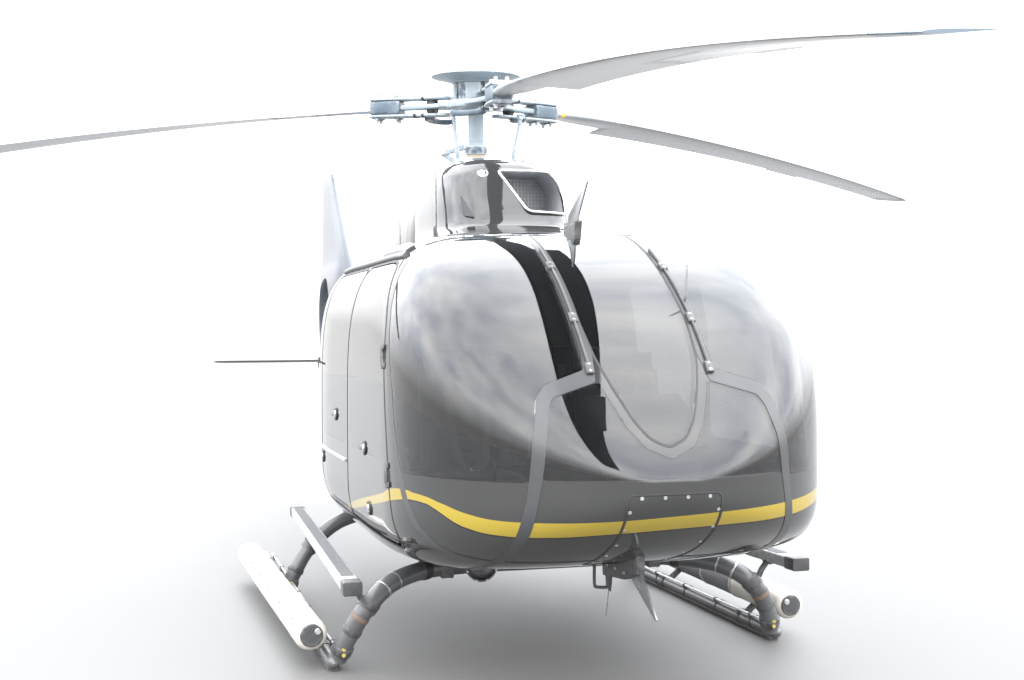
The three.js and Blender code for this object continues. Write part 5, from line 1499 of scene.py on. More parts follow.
def makePack(side, sign):
    # a long laced cover, drawn in by its straps, with creases running away from each strap
    p = gear["pack"]
    length = p["rear"] - p["front"]
    def across(share):
        return sign * (p["frontX"] + (p["rearX"] - p["frontX"]) * share)
    straps = [p["front"] + length * (i + 0.5) / 6 for i in range(6)]
    random = np.random.default_rng(7 if sign > 0 else 11)
    phases = random.uniform(0, 2 * math.pi, (4, 3))
    turn = np.linspace(0, 2 * math.pi, 72, endpoint=False)
    rings = []
    places = np.concatenate([[p["front"] + d for d in (0.0, 0.004, 0.012, 0.022)],
                             np.linspace(p["front"] + 0.035, p["rear"] - 0.035, 230),
                             [p["rear"] - d for d in (0.022, 0.012, 0.004, 0.0)]])
    for y in places:
        share = (y - p["front"]) / length
        end = min(y - p["front"], p["rear"] - y)
        closing = 1 - 0.42 * max(0.0, 1 - end / 0.035) ** 2
        near = min(abs(y - s) for s in straps)
        pinch = 0.045 * math.exp(-(near / 0.03) ** 2)
        crease = sum(0.008 * np.sin((4 + 3 * k) * turn + phases[k][0] + 9 * (k + 1) * share * (1 + 0.3 * k))
                     for k in range(4)) * math.exp(-near / 0.12)
        sag = 0.02 * np.cos(turn * 2) + 0.015 * np.sin(turn - 0.6)
        radius = p["radius"] * closing * (0.965 - pinch + crease + sag)
        rings.append(np.stack([across(share) + radius * np.cos(turn), np.full_like(turn, y),
                               p["z"] + radius * np.sin(turn)], axis=1))
    cover = loft(f"float_cover_{side}", rings)
    fixed(cover, covers[side], 60, nodes=[f"float_pack_{side}"])
    for i, y in enumerate(straps):
        x = across((y - p["front"]) / length)
        ring(f"float_strap_{side}_{i}", (x, y, p["z"]), (0, 1, 0), p["radius"] * 0.93, 0.012, 0.005, paleStrap)
        outer = x + sign * 0.06
        buckle = blockMesh((outer - 0.02, outer + 0.02), (y - 0.018, y + 0.018),
                           (p["z"] + 0.048, p["z"] + 0.062), f"float_buckle_{side}_{i}")
        fixed(bevelled(buckle, 0.004), alloy)
    for i, (y, way) in enumerate(((p["front"], -1), (p["rear"], 1))):
        x = sign * (p["frontX"] if i == 0 else p["rearX"])
        rows = [(0.0, 0.002), (0.03, 0.004), (0.052, 0.003), (0.058, -0.004), (0.05, -0.012), (0.0, -0.012)]
        fixed(turned(f"float_end_{side}_{i}", rows, (x, y, p["z"]), (0, way, 0), 48), satinBlack, angle=30)
        rows = [(0.0, 0.012), (0.012, 0.012), (0.016, 0.008), (0.016, 0.0), (0.0, 0.0)]
        place = (x - sign * 0.03, y + way * 0.002, p["z"] + 0.02)
        fixed(turned(f"float_valve_{side}_{i}", rows, place, (0, way, 0), 24), alloy, angle=30)
    for i, y in enumerate(p["brackets"]):
        x = (p["frontX"] + p["rearX"]) / 2 * sign
        inner = (sign * gear["skid"]["x"], y, gear["skid"]["z"])
        fixed(rod(f"float_arm_{side}_{i}", [(x - sign * 0.02, y, p["z"] - 0.03), inner], p["armRadius"], 20),
              satinBlack, angle=40)
        ring(f"float_arm_collar_{side}_{i}", inner, (0, 1, 0), gear["skid"]["radius"], 0.026, 0.006, satinBlack)


cutters = {
    "upper": {"blade": [(-2.0, 2.215), (-1.825, 2.215), (-1.835, 2.262), (-2.122, 2.406), (-2.144, 2.404),
                        (-2.0, 2.248)],
              "base": [(-1.97, 2.1), (-1.79, 2.1), (-1.81, 2.225), (-2.0, 2.225)], "half": 0.019},
    "lower": {"blade": [(-2.8, 0.64), (-2.86, 0.6), (-3.032, 0.44), (-3.012, 0.432), (-2.8, 0.53),
                        (-2.7, 0.58)],
              "base": [(-2.38, 0.61), (-2.38, 0.525), (-2.66, 0.55), (-2.84, 0.6), (-2.84, 0.7)], "half": 0.02},
    "bladeHalf": 0.004,
}


def makeCutters():
    for which, plan in (("upper", cutters["upper"]), ("lower", cutters["lower"])):
        skin = cabinForm("skin", -0.0003)
        blade = bevelled(prism(plan["blade"], -cutters["bladeHalf"], cutters["bladeHalf"], "x"), 0.0016, 2)
        combine(blade, [copyOf(skin, "skinCopy")])
        fixed(blade, bladeEdge, name=f"{which}_cutter_blade", nodes=[f"{which}_cable_cutter"])
        base = bevelled(prism(plan["base"], -plan["half"], plan["half"], "x"), 0.005, 3)
        combine(base, [skin])
        fixed(base, satinBlack, name=f"{which}_cutter_base")
        ys = (-1.95, -1.85) if which == "upper" else (-2.45, -2.56, -2.68)
        for sign in (-1, 1):
            spots = [(sign * plan["half"], y, 2.205 if which == "upper" else 0.585) for y in ys]
            boltRow(f"{which}_cutter_bolts_{sign}", spots, [(sign, 0, 0)] * len(spots), 0.006, 0.006, alloy)


lamp = {
    "spot": (-0.46, -1.81, 0.5),
    "housing": [(0.0, 0.05), (0.03, 0.046), (0.058, 0.03), (0.072, 0.006), (0.075, 0.0), (0.0825, 0.0),
                (0.083, 0.004), (0.083, 0.016), (0.079, 0.024), (0.066, 0.06), (0.06, 0.075), (0.0, 0.075)],
    "parts": [      # name, place along the lamp's axis, sides, slot, smoothing angle, (radius, height) rows
        ("reflector", -1.764, 64, "dark_metal", 40, [(0.0, 0.0), (0.03, -0.004), (0.057, -0.018), (0.07, -0.04),
                                                     (0.069, -0.042), (0.055, -0.021), (0.0, -0.006)]),
        ("lens", -1.814, 64, "tinted_acrylic", 40, [(0.0, 0.003), (0.05, 0.005), (0.071, 0.011), (0.071, 0.014),
                                                    (0.05, 0.009), (0.0, 0.007)]),
        ("bulb", -1.782, 24, "tinted_acrylic", 60, [(0.0, -0.014), (0.012, -0.012), (0.018, 0.0),
                                                    (0.012, 0.012), (0.0, 0.014)])],
    "screws": (200, 250, 290, 340), "screwCircle": 0.079,
}
lampFinishes = {"reflector": chrome, "lens": smokedAcrylic, "bulb": amberGlass}


def makeLamp():
    x, y, z = lamp["spot"]
    axis = (0, 1, 0)
    housing = turned("belly_lamp_housing", lamp["housing"], lamp["spot"], axis, 64)
    fixed(combine(housing, [cabinForm("skin", -0.0003)]), satinBlack, angle=40, nodes=["landing_light"])
    for name, along, count, slot, angle, rows in lamp["parts"]:
        fixed(turned(f"belly_lamp_{name}", rows, (x, along, z), axis, count), lampFinishes[name], angle)
    r = lamp["screwCircle"]
    spots = [(x + r * math.cos(t), y - 0.001, z + r * math.sin(t)) for t in np.radians(lamp["screws"])]
    boltRow("belly_lamp_screws", spots, [(0, -1, 0)] * 4, 0.0035, 0.003, alloy, 12)


for which in ("front", "rear"):
    makeTube(which)
for side, sign in sides.items():
    makeSkid(side, sign)
    makeStep(side, sign)
    makePack(side, sign)
makeCutters()
makeLamp()
print("stage: landing gear, cutters and lamp")


# Seats, console, floor and engine
leather = material("dark grey leather", color=(0.035, 0.036, 0.04), other=(0.055, 0.056, 0.06), patch=6,
    roughness=0.5, change=0.25, grain=420, bump=0.35, depth=0.001, sheen=0.1)
pipingGrey = material("seat piping", color=(0.16, 0.155, 0.15), other=(0.12, 0.118, 0.115), patch=20,
    roughness=0.55, change=0.1, grain=500, bump=0.2)
webbing = material("belt webbing", color=(0.12, 0.12, 0.125), other=(0.08, 0.08, 0.085), patch=30,
    roughness=0.8, change=0.1, grain=900, bump=0.4)
carpet = material("floor carpet", color=(0.06, 0.06, 0.063), other=(0.09, 0.09, 0.092), patch=30,
    roughness=0.95, change=0.1, grain=900, bump=0.8, depth=0.003, sheen=0.3)
screenGlass = material("dark screen", color=(0.01, 0.012, 0.015), other=(0.014, 0.016, 0.02), patch=4,
    roughness=0.08, change=0.05, coat=1)
dialFace = material("dial face", color=(0.02, 0.02, 0.022), other=(0.03, 0.03, 0.03), patch=30,
    roughness=0.4, change=0.1, coat=0.5)

cabin = {
    "floor": (0.64, 0.665), "floorFront": -2.7, "floorRear": 0.1196,
    "seatX": 0.43, "seat": (0.5, -1.79, 0.09), "bench": (1.72, -0.59, 0.06),      # width, front, rake
    "depth": 0.47, "cushion": 0.95, "backTop": 1.58,
    "consoleX": (-0.15, 0.33),
    "console": [(-2.56, 0.6654), (-2.06, 0.6654), (-2.06, 0.9), (-2.33, 0.99), (-2.4, 1.33), (-2.48, 1.385),
                (-2.72, 1.23), (-2.76, 1.0)],
}


def pillow(name, width, length, thick, rows, place, power, count):
    # a stuffed pad: full in the middle, tight at its seam, with sewn channels across it
    u = np.sin(np.linspace(-math.pi / 2, math.pi / 2, count[0]))
    v = np.sin(np.linspace(-math.pi / 2, math.pi / 2, count[1]))
    grid = np.stack(np.meshgrid(u, v, indexing="ij"), axis=-1)
    a, b = grid[..., 0], grid[..., 1]
    full = ((1 - np.abs(a) ** power) * (1 - np.abs(b) ** power)) ** 0.42
    channel = sum(np.exp(-((b - line) / 0.03) ** 2)
                  for line in np.linspace(-1, 1, rows + 2)[1:-1]) if rows else 0 * b
    edge = np.exp(-((np.abs(a) - 0.72) / 0.022) ** 2)
    lift = full * (1 - 0.16 * channel * (np.abs(a) < 0.72) - 0.14 * edge)
    points, faces = [], []
    for way in (1, -1):
        for i in range(count[0]):
            for j in range(count[1]):
                h = lift[i, j] * thick * (0.6 if way > 0 else -0.4)
                points.append(place @ Vector((a[i, j] * width / 2, b[i, j] * length / 2, h)))
    n = count[0] * count[1]
    for way in (0, 1):
        for i in range(count[0] - 1):
            for j in range(count[1] - 1):
                q = [way * n + k for k in (i * count[1] + j, (i + 1) * count[1] + j, (i + 1) * count[1] + j + 1,
                                           i * count[1] + j + 1)]
                faces.append(q if way == 0 else q[::-1])
    obj = meshObject(name, [tuple(p) for p in points], faces)
    facesOut(obj)
    seam = [(math.cos(t), math.sin(t)) for t in np.linspace(0, 2 * math.pi, 97)]
    line = [place @ Vector((math.copysign(abs(c) ** 0.12, c) * width / 2 * 0.998,
                            math.copysign(abs(s) ** 0.12, s) * length / 2 * 0.998, 0)) for c, s in seam]
    fixed(rod(f"{name}_piping", [tuple(p) for p in line], 0.0045, 8), pipingGrey, angle=60)
    return obj


def makeSeat(name, x, plan, node, places):
    width, front, rake = plan
    rear = front + cabin["depth"]
    shellProfile = [(front + 0.05, 0.6654), (rear - 0.07, 0.6654), (rear + 0.01, 0.86),
                    (rear + 0.012 + rake, 1.545), (rear - 0.035 + rake, 1.555), (rear - 0.07, 0.89),
                    (front + 0.01, 0.87), (front + 0.005, 0.84)]
    shell = bevelled(prism(shellProfile, x - width / 2 + 0.012, x + width / 2 - 0.012, "x", 0.03), 0.006)
    fixed(shell, satinBlack, name=f"{name}_shell", nodes=[node])
    back = math.atan2(rake, cabin["backTop"] - cabin["cushion"])
    each = width / places
    for i in range(places):
        middle = x - width / 2 + each * (i + 0.5)
        tag = f"{name}_{i}" if places > 1 else name
        wide, upright = each - 0.012, math.pi / 2 - back
        # name, width, length, thickness, channels, y, z, turn, corner power, grid, fill
        pads = (("cushion", wide, 0.38, 0.1, 4, (front + rear - 0.1) / 2, 0.892, 0.03, 5.0, (64, 56), 0.7),
                ("back", wide, 0.52, 0.1, 5, rear - 0.075 + rake * 0.42, 1.2, upright, 5.0, (64, 56), 0.7),
                ("headrest", min(0.28, each - 0.1), 0.13, 0.085, 0, rear - 0.045 + rake * 0.9, 1.515, upright,
                 4.0, (40, 28), 0.8))
        for part, w, length, thick, rows, y, z, turn, power, grid, fill in pads:
            place = Matrix.Translation((middle, y, z)) @ Matrix.Rotation(turn, 4, "X")
            pad = pillow(f"{tag}_{part}", w, length, thick, rows, place, power, grid)
            fixed(pad, leather, 70)
        for way in (-1, 1):
            dx = way * min(0.1, each * 0.22)
            belt = [(middle + dx, rear - 0.14 + rake * 0.9, 1.46),
                    (middle + dx, rear - 0.155 + rake * 0.5, 1.22), (middle + dx * 0.8, rear - 0.175, 1.02),
                    (middle + dx * 0.3, rear - 0.23, 0.955)]
            fixed(beam(f"{tag}_belt_{way}", belt, 0.022, 0.0015, (0, -1, 0.2), 4.0, 16), webbing,
                  50)
        rows = [(0.0, -0.006), (0.022, -0.006), (0.026, 0.0), (0.022, 0.006), (0.0, 0.008)]
        fixed(turned(f"{tag}_clasp", rows, (middle, rear - 0.24, 0.962), (0, -0.5, 0.86), 24), alloy)


def makeConsole():
    x0, x1 = cabin["consoleX"]
    body = bevelled(prism(cabin["console"], x0, x1, "x", 0.03), 0.004)
    fixed(body, satinBlack, name="console_body", nodes=["instrument_console"])
    low, high = Vector((0, -2.33, 0.99)), Vector((0, -2.4, 1.33))
    along = (high - low).normalized()
    facing = Vector((0, along.z, -along.y))
    def spot(x, share, out=0.0):
        p = low.lerp(high, share) + facing * out
        return (x, p.y, p.z)
    for i, x in enumerate((x0 + 0.13, x1 - 0.13)):
        flat = Matrix.Translation(spot(x, 0.68, 0.004)) @ facing.to_track_quat("Z", "Y").to_matrix().to_4x4()
        for name, w, h, d, finish in (("bezel", 0.105, 0.085, 0.006, satinBlack),
                                      ("glass", 0.092, 0.072, 0.0075, screenGlass)):
            plate = bevelled(blockMesh((-w, w), (-h, h), (-0.002, d), f"console_{name}_{i}"), 0.003)
            fixed(moveMesh(plate, flat), finish)
    for i, x in enumerate(np.linspace(x0 + 0.06, x1 - 0.06, 5)):
        place = spot(x, 0.2)
        rows = [(0.0, -0.002), (0.036, -0.002), (0.036, 0.007), (0.031, 0.009), (0.028, 0.005), (0.0, 0.004)]
        fixed(turned(f"console_dial_{i}", rows, place, facing, 40), alloy, angle=25)
        rows = [(0.0, 0.0), (0.0275, 0.0), (0.0275, 0.0055), (0.0, 0.0055)]
        fixed(turned(f"console_dial_face_{i}", rows, place, facing, 32), dialFace, angle=25)
        start = spot(x, 0.2, 0.0062)
        needle = [start, tuple(Vector(start) + along * 0.018 + Vector((0.012 * math.sin(i * 1.7), 0, 0)))]
        fixed(beam(f"console_needle_{i}", needle, 0.0012, 0.0006, tuple(facing), 4.0, 8), paleStrap)
    knobs = [(x, y, 0.9 + (-2.06 - y) * 0.333) for y in (-2.12, -2.18, -2.24)
             for x in np.linspace(x0 + 0.06, x1 - 0.06, 6)]
    boltRow("console_knobs", knobs, [(0, 0.32, 0.95)] * len(knobs), 0.009, 0.014, satinBlack, 20, 1.3)


def makeFloor():
    low, high = cabin["floor"]
    mat = combine(blockMesh((-1.2, 1.2), (cabin["floorFront"], cabin["floorRear"]), (low, high),
                            "cabin_carpet"), [cabinForm("inside", fuselage["wall"] + 0.0006)], "INTERSECT")
    fixed(mat, carpet, name="cabin_carpet", nodes=["cabin_floor"])
    for side, sign in sides.items():
        middle = sign * cabin["seatX"]
        for i, x in enumerate((0.27, 0.59)):
            rail = blockMesh((sign * x - 0.014, sign * x + 0.014), (-1.86, -1.24), (high - 0.001, high + 0.014),
                             f"seat_rail_{side}_{i}")
            fixed(bevelled(rail, 0.002), alloy)
        for i in (-1, 1):
            x = middle + i * 0.055
            pedal = blockMesh((x - 0.035, x + 0.035), (-2.5, -2.485), (0.76, 0.86), f"pedal_{side}_{i}")
            fixed(bevelled(pedal, 0.004), alloy)
            stem = [(x, -2.494, 0.8), (x, -2.52, 0.72), (x, -2.54, 0.664)]
            fixed(rod(f"pedal_stem_{side}_{i}", stem, 0.008, 12), satinBlack)
        stick = [(middle, -1.86, 0.664), (middle, -1.9, 0.85), (middle, -1.96, 0.98), (middle, -1.95, 1.06)]
        fixed(rod(f"control_stick_{side}", stick, [0.014, 0.012, 0.012, 0.012], 16, 6), satinBlack, angle=50)
        grip = [(middle, -1.952, 1.04), (middle, -1.948, 1.1), (middle, -1.955, 1.16)]
        fixed(rod(f"control_grip_{side}", grip, [0.018, 0.022, 0.016], 20, 6), rubber, angle=60)


def makeEngine():
    height, ringRadius, pipeRadius = 1.99, 0.19, 0.215
    rows = [(0.0, 0.0), (0.12, 0.0), (0.13, 0.03), (0.15, 0.05), (0.15, 0.16), (0.2, 0.17), (0.2, 0.19),
            (0.17, 0.2), (0.17, 0.34), (0.21, 0.35), (0.21, 0.37), (0.19, 0.38), (0.19, 0.5), (0.215, 0.51),
            (0.215, 0.53), (0.16, 0.55), (0.14, 0.66), (0.0, 0.66)]
    fixed(turned("engine_casing", rows, (0, 0.5, height), (0, 1, 0), 64), darkSteel, 25,
          nodes=["engine"])
    base = blockMesh((-0.17, 0.17), (0.52, 1.12), (1.732, 1.83), "engine_base")
    fixed(bevelled(base, 0.01), satinBlack)
    for i, y in enumerate((0.675, 0.855, 1.02)):
        turns = np.linspace(0, 2 * math.pi, 24, endpoint=False)
        spots = [(ringRadius * math.cos(t), y + 0.012, height + ringRadius * math.sin(t)) for t in turns]
        boltRow(f"engine_flange_bolts_{i}", spots, [(0, 1, 0)] * 24, 0.006, 0.01, alloy)
    for i, t in enumerate(np.radians([20, 70, 110, 160])):
        x, z = pipeRadius * math.cos(t), height + pipeRadius * math.sin(t)
        pipe = [(x * 0.8, 0.56, z - 0.03), (x, 0.62, z), (x, 0.9, z), (x * 0.85, 1.04, z - 0.02)]
        fixed(rod(f"engine_pipe_{i}", pipe, 0.011, 14, 8), alloy, 60)


for side, sign in sides.items():
    makeSeat(f"seat_{side}", sign * cabin["seatX"], cabin["seat"], f"front_seat_{side}", 1)
makeSeat("bench", 0.0, cabin["bench"], "rear_bench", 3)
makeConsole()
makeFloor()
makeEngine()
print("stage: seats, console, floor and engine")


# Bands, gaskets, rails, fasteners, antennas and other trim on the skin
def offSkin(spot, out):
    # a point out metres off the skin, and the outward direction there
    point = np.array(spot)
    facing = bodyNormals(point[None], 0.0)[0]
    return point + facing * out, facing


def noseSpot(x, z, out=0.0):
    # the point of the nose at (x, z) seen from ahead
    low, high = fuselage["nose"] + 0.002, -1.5
    for _ in range(40):
        y = (low + high) / 2
        width, middle, up, down = bodySection(y)
        above = z >= middle
        power = fuselage["upperPower"] if above else fuselage["lowerPower"]
        inside = (abs(x) / width) ** power + (abs(z - middle) / (up if above else down)) ** power < 1
        low, high = (low, y) if inside else (y, high)
    return offSkin((x, y, z), out)


def sideSpot(y, z, sign=1, out=0.0):
    width, middle, up, down = bodySection(y)
    above = z >= middle
    power = fuselage["upperPower"] if above else fuselage["lowerPower"]
    x = width * max(0.0, 1 - (abs(z - middle) / (up if above else down)) ** power) ** (1 / power)
    return offSkin((sign * x, y, z), out)


def roofSpot(x, y, out=0.0):
    width, middle, up, _ = bodySection(y)
    power = fuselage["upperPower"]
    z = middle + up * max(0.0, 1 - (abs(x) / width) ** power) ** (1 / power)
    return offSkin((x, y, z), out)


def skinStrip(name, keep, away, finish, thick=0.0016):
    # a thin strip lying on the cabin's skin, where keep is and away isn't
    strip = combine(cabinForm(name, -thick), [cabinForm("inner", -0.0002)])
    combine(strip, [keep], "INTERSECT")
    combine(strip, away)
    smoothSkin(strip, (-thick, 0.0))
    fixed(strip, finish, None)


def bothSides(make):
    for side, sign in sides.items():
        make(side, sign)


trim = {
    "bandInner": [(0.259, 2.3), (0.259, 1.72), (0.243, 1.57), (0.262, 1.457), (0.465, 1.397), (0.489, 1.352),
                  (0.517, 1.23), (0.537, 1.062), (0.551, 0.983), (0.564, 0.9), (0.578, 0.809), (0.6, 0.7),
                  (0.62, 0.6), (0.635, 0.4)],
    "bandOuter": [(0.294, 2.3), (0.292, 1.57), (0.302, 1.508), (0.485, 1.449), (0.533, 1.397), (0.571, 1.228),
                  (0.587, 1.05), (0.595, 0.983), (0.611, 0.9), (0.627, 0.809), (0.65, 0.7), (0.672, 0.6),
                  (0.69, 0.4)],
    "bandRear": -1.965, "postBand": (-0.028, 0.022), "postFoot": [(-2.7, 0.72), (-2.78, 0.64), (-2.9, 0.5)],
    "gasket": 0.012, "hatchGasket": (0.009, -0.0012),
    "hatchScrews": [(0.05, 0.988), (0.15, 0.988), (0.196, 0.93), (0.197, 0.85), (0.19, 0.77), (0.18, 0.7),
                    (0.172, 0.64)],
    "latches": [(-0.764, 1.216, "airframe"), (-1.725, 1.1, "front_door"), (-0.164, 0.929, "airframe"),
                (-1.829, 0.814, "front_door")],
    "rod": [(0.276, 2.05), (0.277, 1.9), (0.278, 1.727), (0.277, 1.6), (0.275, 1.51)],
    "whip": (-0.56, -1.25, 2.87), "thinAerial": (-0.66, -0.75, 2.52),
    "hinges": {"front_door": [(-2.314, 1.02), (-2.209, 1.56)], "bay_door": [(0.47, 1.483), (0.99, 1.483)]},
}


def makeBands():
    outline = trim["bandInner"] + trim["bandOuter"][::-1]
    def band(side, sign):
        region = frontPrism([(sign * x, z) for x, z in outline[::sign]], 0.012, trim["bandRear"])
        skinStrip(f"glazing_band_{side}", region, [], bandGrey)
        ahead, behind = trim["postBand"]
        line = postLine[1:] + trim["postFoot"]
        post = [(y + ahead, z) for y, z in line] + [(y + behind, z) for y, z in line[::-1]]
        skinStrip(f"door_post_band_{side}", sidePrism(post, 0.0, sign, 0.2), [], bandGrey)
        reach = trim["gasket"]
        for name, door, start in (("front_door", frontDoorOutline, gap["door"] + 0.001),
                                  ("rear_door", rearDoorOutline, 0.001)):
            region = sidePrism(grown(door, start + reach), doorCorner + reach, sign)
            away = [sidePrism(grown(door, start), doorCorner, sign)]
            if name == "rear_door":
                away.append(sidePrism(grown(frontDoorOutline, 0.03), doorCorner, sign))
            skinStrip(f"{name}_gasket_{side}", region, away, rubber)
    bothSides(band)
    wide, narrow = trim["hatchGasket"]
    skinStrip("hatch_gasket", frontPrism(grown(hatchOutline, wide), paneCorner, noseEnd),
              [frontPrism(grown(hatchOutline, narrow), paneCorner, noseEnd)], rubber)
    spots, facings = zip(*(noseSpot(sign * x, z, 0.001) for sign in (1, -1) for x, z in trim["hatchScrews"]))
    boltRow("hatch_screws", spots, facings, 0.0065, 0.002, alloy, 20, 1.25)
    skinStrip("centre_pane_seal", frontPrism(grown(centreOutline, 0.007), centreCorner, -1.97),
              [frontPrism(grown(centreOutline, -0.003), centreCorner)], rubber, 0.0012)


def makeRods():
    def post(side, sign):
        line = [(*trim["rod"][0], 0.0)] + [(x, z, 0.011) for x, z in trim["rod"]] + [(*trim["rod"][-1], 0.0)]
        points = [tuple(noseSpot(sign * x, z, out)[0]) for x, z, out in line]
        fixed(rod(f"deflector_rod_{side}", points, 0.006, 14, 8), satinBlack, angle=60)
        for i, (x, z) in enumerate((trim["rod"][2], trim["rod"][-1], (0.277, 1.97))):
            spot, facing = noseSpot(sign * x, z, 0.004)
            flat = Matrix.Translation(spot) @ Vector(facing).to_track_quat("Z", "Y").to_matrix().to_4x4()
            plate = bevelled(blockMesh((-0.017, 0.017), (-0.03, 0.03), (-0.004, 0.012), "plate"), 0.004)
            fixed(moveMesh(plate, flat), satinBlack, name=f"deflector_fitting_{side}_{i}")
            screws = [tuple(flat @ Vector((0, dy, 0.012))) for dy in (-0.018, 0.018)]
            boltRow(f"deflector_screws_{side}_{i}", screws, [facing] * 2, 0.0045, 0.003, alloy)
    bothSides(post)
    foot, facing = noseSpot(0.285, 1.8)
    probe = [tuple(foot), tuple(foot + facing * 0.05), tuple(foot + facing * 0.06 + (0, 0, 0.13))]
    fixed(rod("air_probe", probe, [0.006, 0.006, 0.004], 14), chrome, 60)


def makeLatches():
    def place(side, sign):
        for i, (y, z, body) in enumerate(trim["latches"]):
            spot, facing = sideSpot(y, z, sign, -0.002)
            rides = body if body == "airframe" else f"{body}_{side}"
            rows = [(0.0, 0.0), (0.036, 0.0), (0.036, 0.007), (0.031, 0.011), (0.026, 0.007), (0.0, 0.006)]
            finishPiece(turned(f"latch_cup_{side}_{i}", rows, spot, facing, 48), rides, rubber,
                        angle=30)
            rows = [(0.0, 0.004), (0.02, 0.004), (0.022, 0.009), (0.017, 0.015), (0.0, 0.017)]
            finishPiece(turned(f"latch_button_{side}_{i}", rows, spot, facing, 40), rides, chrome,
                        angle=30)
            if i < 2:
                back = spot + facing * 0.012
                line = [tuple(back), tuple(back + (0, 0.05, -0.003)), tuple(back + (0, 0.095, -0.008))]
                handle = beam(f"latch_handle_{side}_{i}", line, [0.01, 0.012, 0.008], [0.005, 0.005, 0.003],
                              tuple(facing), 3.0, 20)
                finishPiece(handle, rides, satinBlack, angle=50)
    bothSides(place)


def makeHinges():
    # knuckles in three spans, the middle one on the door
    def pair(side, sign):
        for kind, places in trim["hinges"].items():
            for i, (y, z) in enumerate(places):
                spot, facing = sideSpot(y, z, sign, 0.006)
                joint = joints[f"{kind}_{side}_hinge"]
                axis = Vector(joint["axis"]).normalized()
                if kind == "bay_door":
                    start = np.array(joint["pos_m"]) - shift
                    spot = start + np.array(axis) * (y - start[1]) / axis.y
                toward = Vector(facing).cross(axis).normalized()
                if (toward.y if kind == "front_door" else -toward.z) <= 0:
                    toward = -toward
                for span, (low, high) in enumerate(((-0.056, -0.031), (-0.03, 0.03), (0.031, 0.056))):
                    rides = f"{kind}_{side}" if span == 1 else "airframe"
                    way = 1 if span == 1 else -1
                    thick = 0.0085 if kind == "front_door" else 0.006
                    rows = [(0.0, low), (thick, low), (thick, high), (0.0, high)]
                    knuckle = turned("knuckle", rows, spot, axis, 24)
                    turn = Matrix((toward * way, axis, (toward * way).cross(axis))).transposed().to_4x4()
                    leaf = blockMesh((0.004, 0.034), (low + 0.001, high - 0.001), (-0.003, 0.0015), "leaf")
                    leaf = moveMesh(bevelled(leaf, 0.001, 2), Matrix.Translation(spot) @ turn)
                    finishPiece(merged(f"{kind}_hinge_{side}_{i}_{span}", [knuckle, leaf]), rides, satinBlack,
                                angle=30)
    bothSides(pair)


def makeAerials():
    x, y, top = trim["whip"]
    foot, facing = roofSpot(x, y)
    rows = [(0.0, -0.004), (0.028, -0.004), (0.026, 0.006), (0.014, 0.016), (0.01, 0.05), (0.006, 0.07),
            (0.0, 0.072)]
    fixed(turned("whip_base", rows, foot, facing, 32), satinBlack, angle=40)
    whip = [tuple(foot + (0, 0, 0.05)), (x, y, (foot[2] + top) / 2), (x + 0.004, y + 0.004, top)]
    fixed(rod("whip_aerial", whip, [0.0045, 0.003, 0.0018], 12), satinBlack, angle=60)
    x, y, top = trim["thinAerial"]
    foot, facing = roofSpot(x, y)
    rows = [(0.0, -0.004), (0.018, -0.004), (0.016, 0.006), (0.006, 0.02), (0.0, 0.022)]
    fixed(turned("thin_aerial_base", rows, foot, facing, 24), satinBlack, angle=40)
    thin = [tuple(foot), (x, y + 0.01, (foot[2] + top) / 2), (x, y + 0.02, top)]
    fixed(rod("thin_aerial", thin, [0.003, 0.002, 0.0014], 10), satinBlack, angle=60)
    # belly: an L-shaped drain pipe, a blade aerial and its wire
    pipe = [(0.02, -2.15, 0.53), (0.02, -2.15, 0.44), (0.035, -2.15, 0.425), (0.085, -2.15, 0.42)]
    fixed(rod("belly_probe", pipe, 0.008, 16, 6), satinBlack, angle=60)
    blade = prism([(-2.2, 0.53), (-2.08, 0.53), (-2.1, 0.42), (-2.16, 0.4)], 0.095, 0.103, "x")
    fixed(bevelled(blade, 0.003), satinBlack, name="belly_blade_aerial")
    wire = [(0.099, -2.13, 0.41), (0.094, -2.13, 0.34), (0.084, -2.13, 0.28)]
    fixed(rod("belly_wire", wire, 0.002, 8), satinBlack, angle=60)
    # position light on the fin's top
    rows = [(0.0, 0.0), (0.03, 0.0), (0.032, 0.012), (0.024, 0.04), (0.0, 0.052)]
    fixed(turned("fin_top_light", rows, (0, 6.42, 3.372), (0, 0, 1), 32), chrome, angle=50)


def makeRails():
    def rail(side, sign):
        def along(name, spots, middle, *shape):
            return beam(f"{name}_{side}", [tuple(spot) for spot, _ in spots], *shape[:2],
                        tuple(spots[middle][1]), *shape[2:])
        high = [sideSpot(y, 2.048 - 0.02 * max(0, (y + 0.4)), sign, 0.004)
                for y in np.linspace(-1.9, -0.12, 22)]
        fixed(along("door_rail", high, 10, 0.02, 0.013, 3.0, 20), satinBlack, angle=50)
        low = [sideSpot(y, 0.985, sign, 0.004) for y in np.linspace(-1.12, 0.1, 16)]
        fixed(along("sliding_rail", low, 5, 0.009, 0.006, 4.0, 20), alloy, 50)
        cover = [roofSpot(sign * 0.82, y, 0.006) for y in np.linspace(-1.84, -1.2, 12)]
        fixed(along("roof_hood", cover, 5, [0.03, 0.052, 0.055, 0.05, 0.02],
                    [0.006, 0.014, 0.016, 0.014, 0.004], 2.6, 28), satinBlack, angle=60)
    bothSides(rail)


def fairingSpot(x, z, out=0.0):
    # the fairing's front face at (x, z)
    table = np.array(fairing["levels"])
    front, back, half, power = (np.interp(z, table[:, 0], table[:, i]) for i in (1, 2, 3, 4))
    middle, reach = (front + back) / 2, (back - front) / 2
    share = min(0.995, abs(x) / half)
    y = middle - (reach + out) * max(0.0, 1 - share ** power) ** (1 / power)
    return (x + math.copysign(out, x) * share ** power, y, z)


